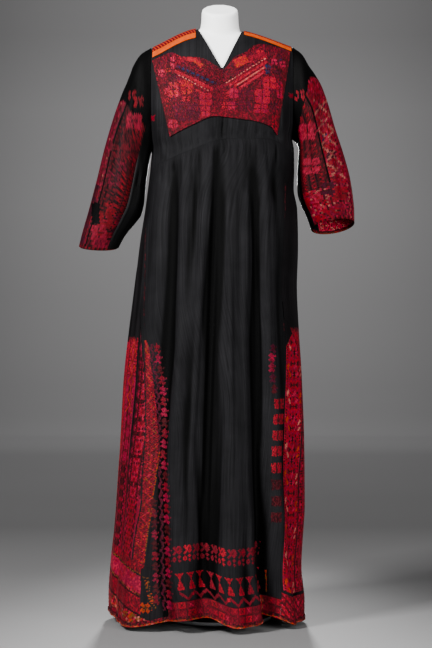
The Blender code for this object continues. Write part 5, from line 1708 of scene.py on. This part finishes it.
SLEEVE_PUSHES = [
    (-1, -214, 1330, -262, 930, 12, 3.4), (-1, -232, 1240, -288, 960, 10, -3.4),
    (-1, -190, 1300, -226, 1020, 10, -3), (1, -226, 1300, -272, 940, 12, 3.4),
    (1, -200, 1280, -240, 980, 10, -3), (-1, 232, 1330, 272, 960, 12, 3.4),
    (-1, 212, 1280, 238, 960, 10, -3.6), (-1, 252, 1200, 292, 960, 10, -3),
    (1, 236, 1300, 278, 960, 12, 3.4), (1, 214, 1260, 246, 990, 10, -3),
]
UNDER_PUSHES = [
    (-1, -174, 1170, -208, 990, 7, 4.5), (-1, -184, 1160, -194, 1000, 5, -4),
    (-1, -166, 1110, -186, 970, 6, -3.5), (-1, 168, 1140, 196, 1000, 6, 3.5),
    (1, -170, 1160, -202, 990, 7, 4), (1, 168, 1140, 196, 1000, 6, -3.5),
]
# Painted light: the under panels' black is painted several times lighter than the dress's black, in place of
# the light that the body keeps from them.
painted_lit_black_cloth = embroidered_material("painted_lit_black_cloth", (0.0165, 0.0165, 0.0172))
sleeve_cloth = embroidered_material("sleeve_embroidery", (0.0028, 0.0024, 0.0027))
for side, outward in OUTWARD.items():
    front_angle, back_angle = UNDER_PANEL[side]
    sleeve_surface = partial(sleeve, side)
    outer_rows = sleeve_places(side, SLEEVE_STITCH)[::-1]
    outer_columns = np.linspace(back_angle - 360, front_angle, SLEEVE_COLUMNS[side] + 1)
    chart = sleeve_chart(side, sleeve_surface, outer_columns, outer_rows)
    piece = cloth_shell("sleeve_outer_" + side, sleeve_surface, outer_columns, outer_rows, -outward,
                        threads=worked(chart, seed=31, colour_gain=SLEEVE_PAINTED_LIGHT[side]), push=creases(SLEEVE_PUSHES))
    sew(piece, sleeve_cloth)
    under_rows = sleeve_places(side, UNDER_CELL)[::-1]
    under_columns = np.linspace(front_angle, back_angle, int((back_angle - front_angle) / UNDER_TURN))
    piece = cloth_shell("sleeve_under_" + side, sleeve_surface, under_columns, under_rows, -outward,
                        push=creases(UNDER_PUSHES))
    sew(piece, painted_lit_black_cloth)

# ---------------------------------------------------------------- the bindings
# Narrow strips of silk over the raw edges: one round the whole hem and one round each cuff.


def binding_surface(angle, up):
    """Point of the hem's binding, by angle round the dress and up from the hem."""
    return body(angle, hem_height(angle) + up * HEM_BINDING)


def silk_material(name, colours, along_scale):
    """Worn satin silk: threads that run one way, and stains that change its colour slowly."""
    material, tree, shader = new_material(name, Roughness=0.5, Specular_IOR_Level=0.06)
    place, spot = stitches_place(tree), object_place(tree)
    fibre = noise_node(tree, stretch_node(tree, place, along_scale), 3.0, detail=3.0)
    stain = noise_node(tree, spot, 60.0, detail=4.0)
    base = mix_node(tree, range_node(tree, stain, 0.35, 0.65), *colours)
    shade = range_node(tree, fibre, 0.3, 0.7, 0.75, 1.1)
    wire(tree, shader, Base_Color=scaled_colour(tree, base, shade),
         Normal=bump_node(tree, fibre, 0.5, 0.0006))
    return material


def binding_chart(columns):
    """Oversewn in turns of colour along the folded edge, plain dark red silk above it."""
    chart = new_chart(5, columns, ground="d")
    figured(chart[:1], "oorpgoc", 5, 1, seed=61)
    figured(chart[1:2], "orkcgd", 5, 1, seed=62)
    figured(chart[2:], "cdk", 7, 2, seed=63)
    return chart


HEM_STITCHES = 639        # round the hem
CUFF_STITCHES = 109       # round each cuff
hem_angles = np.linspace(-180, 180, HEM_STITCHES + 1)[:-1]
hem_binding = cloth_shell("hem_binding", binding_surface, hem_angles, np.linspace(0, 1, 6),
                          lay_gap=HEM_LAY_GAP, wall=BINDING_WALL, closed=True,
                          threads=worked(binding_chart(HEM_STITCHES), seed=65))
sew(hem_binding, red_panel_cloth)
for side, outward in OUTWARD.items():
    cuff_angles = np.linspace(0, 360, CUFF_STITCHES + 1)[:-1]
    cuff = cloth_shell("cuff_binding_" + side, partial(sleeve, side), cuff_angles,
                       np.linspace(10.0, CUFF_BINDING, 6), -outward,
                       lay_gap=LAY_GAP, wall=BINDING_WALL, closed=True,
                       threads=worked(binding_chart(CUFF_STITCHES), seed=66))
    sew(cuff, red_panel_cloth)

# ---------------------------------------------------------------- the shoulder bands
# A band of striped silk covers each shoulder seam, and a plain orange ribbon edges it in front.

# Bands along each shoulder: inner and outer x, and drops below the shoulder line
YOKES = {
    "left": {"x": (-0.1600, -0.0565), "stripes_front": 0.014, "stripes_back": 0.030, "ribbon": 0.029},
    "right": {"x": (0.0595, 0.1730), "stripes_front": 0.0045, "stripes_back": 0.034, "ribbon": 0.0135},
}
BAND_GAP = 0.0006         # drop between the striped band and the ribbon
STRIPE_TURN = 3.8         # width of one set of stripes, in cells of the band's grid
STRIPE_SLANT = 0.35       # cells they move over in each row
# Stripes of a set: where each begins, and its colour
STRIPES = ((0.0, (0.15, 0.0003, 0.004, 1)), (0.34, (0.30, 0.04, 0.001, 1)), (0.52, (0.11, 0.0003, 0.005, 1)),
           (0.80, (0.004, 0.001, 0.002, 1)))


def stripes(side, x, way):
    """The striped band: way goes from its front edge at -1 over the seam to its back edge at 1."""
    sizes = YOKES[side]
    drop = np.where(way < 0, sizes["stripes_front"], sizes["stripes_back"]) * way ** 2
    height = along(SHOULDERS, 1, x) - drop
    angle = angle_of(x, height)
    return body(np.where(way < 0, angle, 180.0 - angle), height)


def ribbon(side, x, up):
    """The ribbon before the striped band."""
    low, high = YOKES[side]["ribbon"], YOKES[side]["stripes_front"] + BAND_GAP
    return on_front(x, along(SHOULDERS, 1, x) - (low + up * (high - low)))


def striped_material():
    """Striped silk woven across the band: narrow lines of red, orange, gold and black."""
    material, tree, shader = new_material("shoulder_striped_silk", Roughness=0.5, Specular_IOR_Level=0.06)
    place = stitches_place(tree)
    parts = parts_node(tree, place)
    slant = math_node(tree, "ADD", parts[0], times(tree, parts[1], STRIPE_SLANT))
    turn = math_node(tree, "FRACT", math_node(tree, "DIVIDE", slant, STRIPE_TURN))
    ramp = add_node(tree, "ValToRGB", {0: turn})
    ramp.color_ramp.interpolation = "CONSTANT"
    for number, (where, colour) in enumerate(STRIPES):
        element = ramp.color_ramp.elements[number] if number < 2 else ramp.color_ramp.elements.new(where)
        element.position = where
        element.color = colour
    fibre = noise_node(tree, stretch_node(tree, place, (1.2, 0.1, 1.0)), 4.0, detail=3.0)
    shade = range_node(tree, fibre, 0.3, 0.7, 0.7, 1.1)
    wire(tree, shader, Base_Color=scaled_colour(tree, ramp.outputs[0], shade),
         Normal=bump_node(tree, fibre, 0.5, 0.0005))
    return material


striped_silk = striped_material()
RIBBON_COLOURS = ((0.37, 0.046, 0.0001, 1), (0.29, 0.030, 0.0001, 1))
ribbon_silk = silk_material("ribbon_silk", RIBBON_COLOURS, (0.08, 1.0, 1))
for side in YOKES:
    band_columns = np.linspace(*YOKES[side]["x"], 60)
    piece = cloth_shell("shoulder_stripes_" + side, partial(stripes, side), band_columns,
                        np.linspace(-1, 1, 44), lay_gap=LAY_GAP)
    sew(piece, striped_silk)
    piece = cloth_shell("shoulder_ribbon_" + side, partial(ribbon, side), band_columns,
                        np.linspace(0, 1, 8), lay_gap=LAY_GAP, wall=BINDING_WALL)
    sew(piece, ribbon_silk)

# ---------------------------------------------------------------- the room
# Seamless grey paper, lit from above on the left and more softly from the right.

FLOOR = (-9.0, 7.2, -0.001)   # y of its near edge and of the foot of the curve, and its height
CURVE_RADIUS = 3.0            # of the turn from the floor up into the wall
WALL_TOP = 12.0
# Painted light and shade along the paper: distance along it from under the dress, and its albedo there
PAPER_PAINTED_LIGHT = ((-9.0, 0.150), (-0.5, 0.084), (0.13, 0.073), (0.64, 0.084), (1.27, 0.074), (2.07, 0.057),
         (3.14, 0.092), (4.61, 0.160), (5.63, 0.215), (6.3, 0.300), (6.8, 0.345), (7.4, 0.370),
         (8.0, 0.308), (8.5, 0.297), (9.6, 0.327), (10.5, 0.374), (11.3, 0.368), (12.0, 0.288))


def backdrop():
    """A seamless sweep of grey paper: the floor, turned up into the wall, with painted light and shade on it.
    """
    across = np.array([-12.0, 12.0])
    turn = np.linspace(0, math.pi / 2, 40)[1:]
    flat = np.linspace(*FLOOR[:2], 130)
    y = np.concatenate([flat, FLOOR[1] + CURVE_RADIUS * np.sin(turn), [FLOOR[1] + CURVE_RADIUS]])
    z = np.concatenate([0 * flat, CURVE_RADIUS * (1 - np.cos(turn)), [WALL_TOP]]) + FLOOR[2]
    run = np.concatenate([flat, FLOOR[1] + CURVE_RADIUS * turn, [PAPER_PAINTED_LIGHT[-1][0]]])
    # Painted light and shade along the paper: each row takes its albedo from the table above.
    tone = np.interp(run, *zip(*PAPER_PAINTED_LIGHT)).repeat(len(across))
    points = [(x, y_at, z_at) for y_at, z_at in zip(y, z) for x in across]
    faces = [(2 * n, 2 * n + 1, 2 * n + 3, 2 * n + 2) for n in range(len(y) - 1)]
    piece = mesh_piece("room_backdrop", points, faces)
    piece.data.attributes.new("tone", "FLOAT", "POINT").data.foreach_set("value", tone)
    piece.data.shade_smooth()
    material, tree, shader = new_material("backdrop_paper", Roughness=0.9)
    # Painted pool of light: the paper is painted lighter in the middle and darker towards its left and right
    # ends.
    x = parts_node(tree, object_place(tree))[0]
    painted_light_pool = range_node(tree, times(tree, x, x), 0.0, 3.0, 1.15, 0.75)
    shade = times(tree, attribute_node(tree, "tone")["Fac"], painted_light_pool)
    wire(tree, shader, Base_Color=scaled_colour(tree, (1.0, 0.98, 0.98), shade))
    piece.data.materials.append(material)


backdrop()


def hang_lamp(light, place, target, power):
    """Hang a light here, turned to its target."""
    light.energy = power
    lamp = bpy.data.objects.new(light.name, light)
    lamp.location = place
    way = mathutils.Vector(target) - mathutils.Vector(place)
    lamp.rotation_euler = way.to_track_quat("-Z", "Y").to_euler()
    bpy.context.collection.objects.link(lamp)


# Soft lights: name, place, what each one faces, its width and height, and its power
SOFT_LIGHTS = (
    ("key", (-2.6, -2.6, 3.4), (0, 0, 0.8), (1.0, 1.0), 600),
    ("fill", (2.3, -3.4, 1.3), (0, 0, 0.8), (1.6, 1.6), 200),
    ("floor wash", (0, -2.2, 3.6), (0, -0.6, 0), (2.4, 0.8), 60),
)
for name, place, target, size, power in SOFT_LIGHTS:
    light = bpy.data.lights.new(name, "AREA")
    light.shape = "RECTANGLE"
    light.size, light.size_y = size
    hang_lamp(light, place, target, power)

# A narrow beam from behind shows the back without lighting the floor.
back_light = bpy.data.lights.new("back", "SPOT")
back_light.spot_size = math.radians(20)
back_light.spot_blend = 0.5
back_light.shadow_soft_size = 0.25
hang_lamp(back_light, (0, 5.6, 1.4), (0, 0, 0.8), 3600)

world = bpy.data.worlds.new("room_air")
world.use_nodes = True
background = world.node_tree.nodes["Background"]
wire(world.node_tree, background, Color=(0.62, 0.63, 0.65, 1), Strength=0.42)
bpy.context.scene.world = world

camera_lens = bpy.data.cameras.new("camera")
camera_lens.lens = 103.3
camera = bpy.data.objects.new("camera", camera_lens)
camera.location = (-0.008, -4.5, 0.713)
camera.rotation_euler = (math.pi / 2, 0, 0)
bpy.context.collection.objects.link(camera)
bpy.context.scene.camera = camera
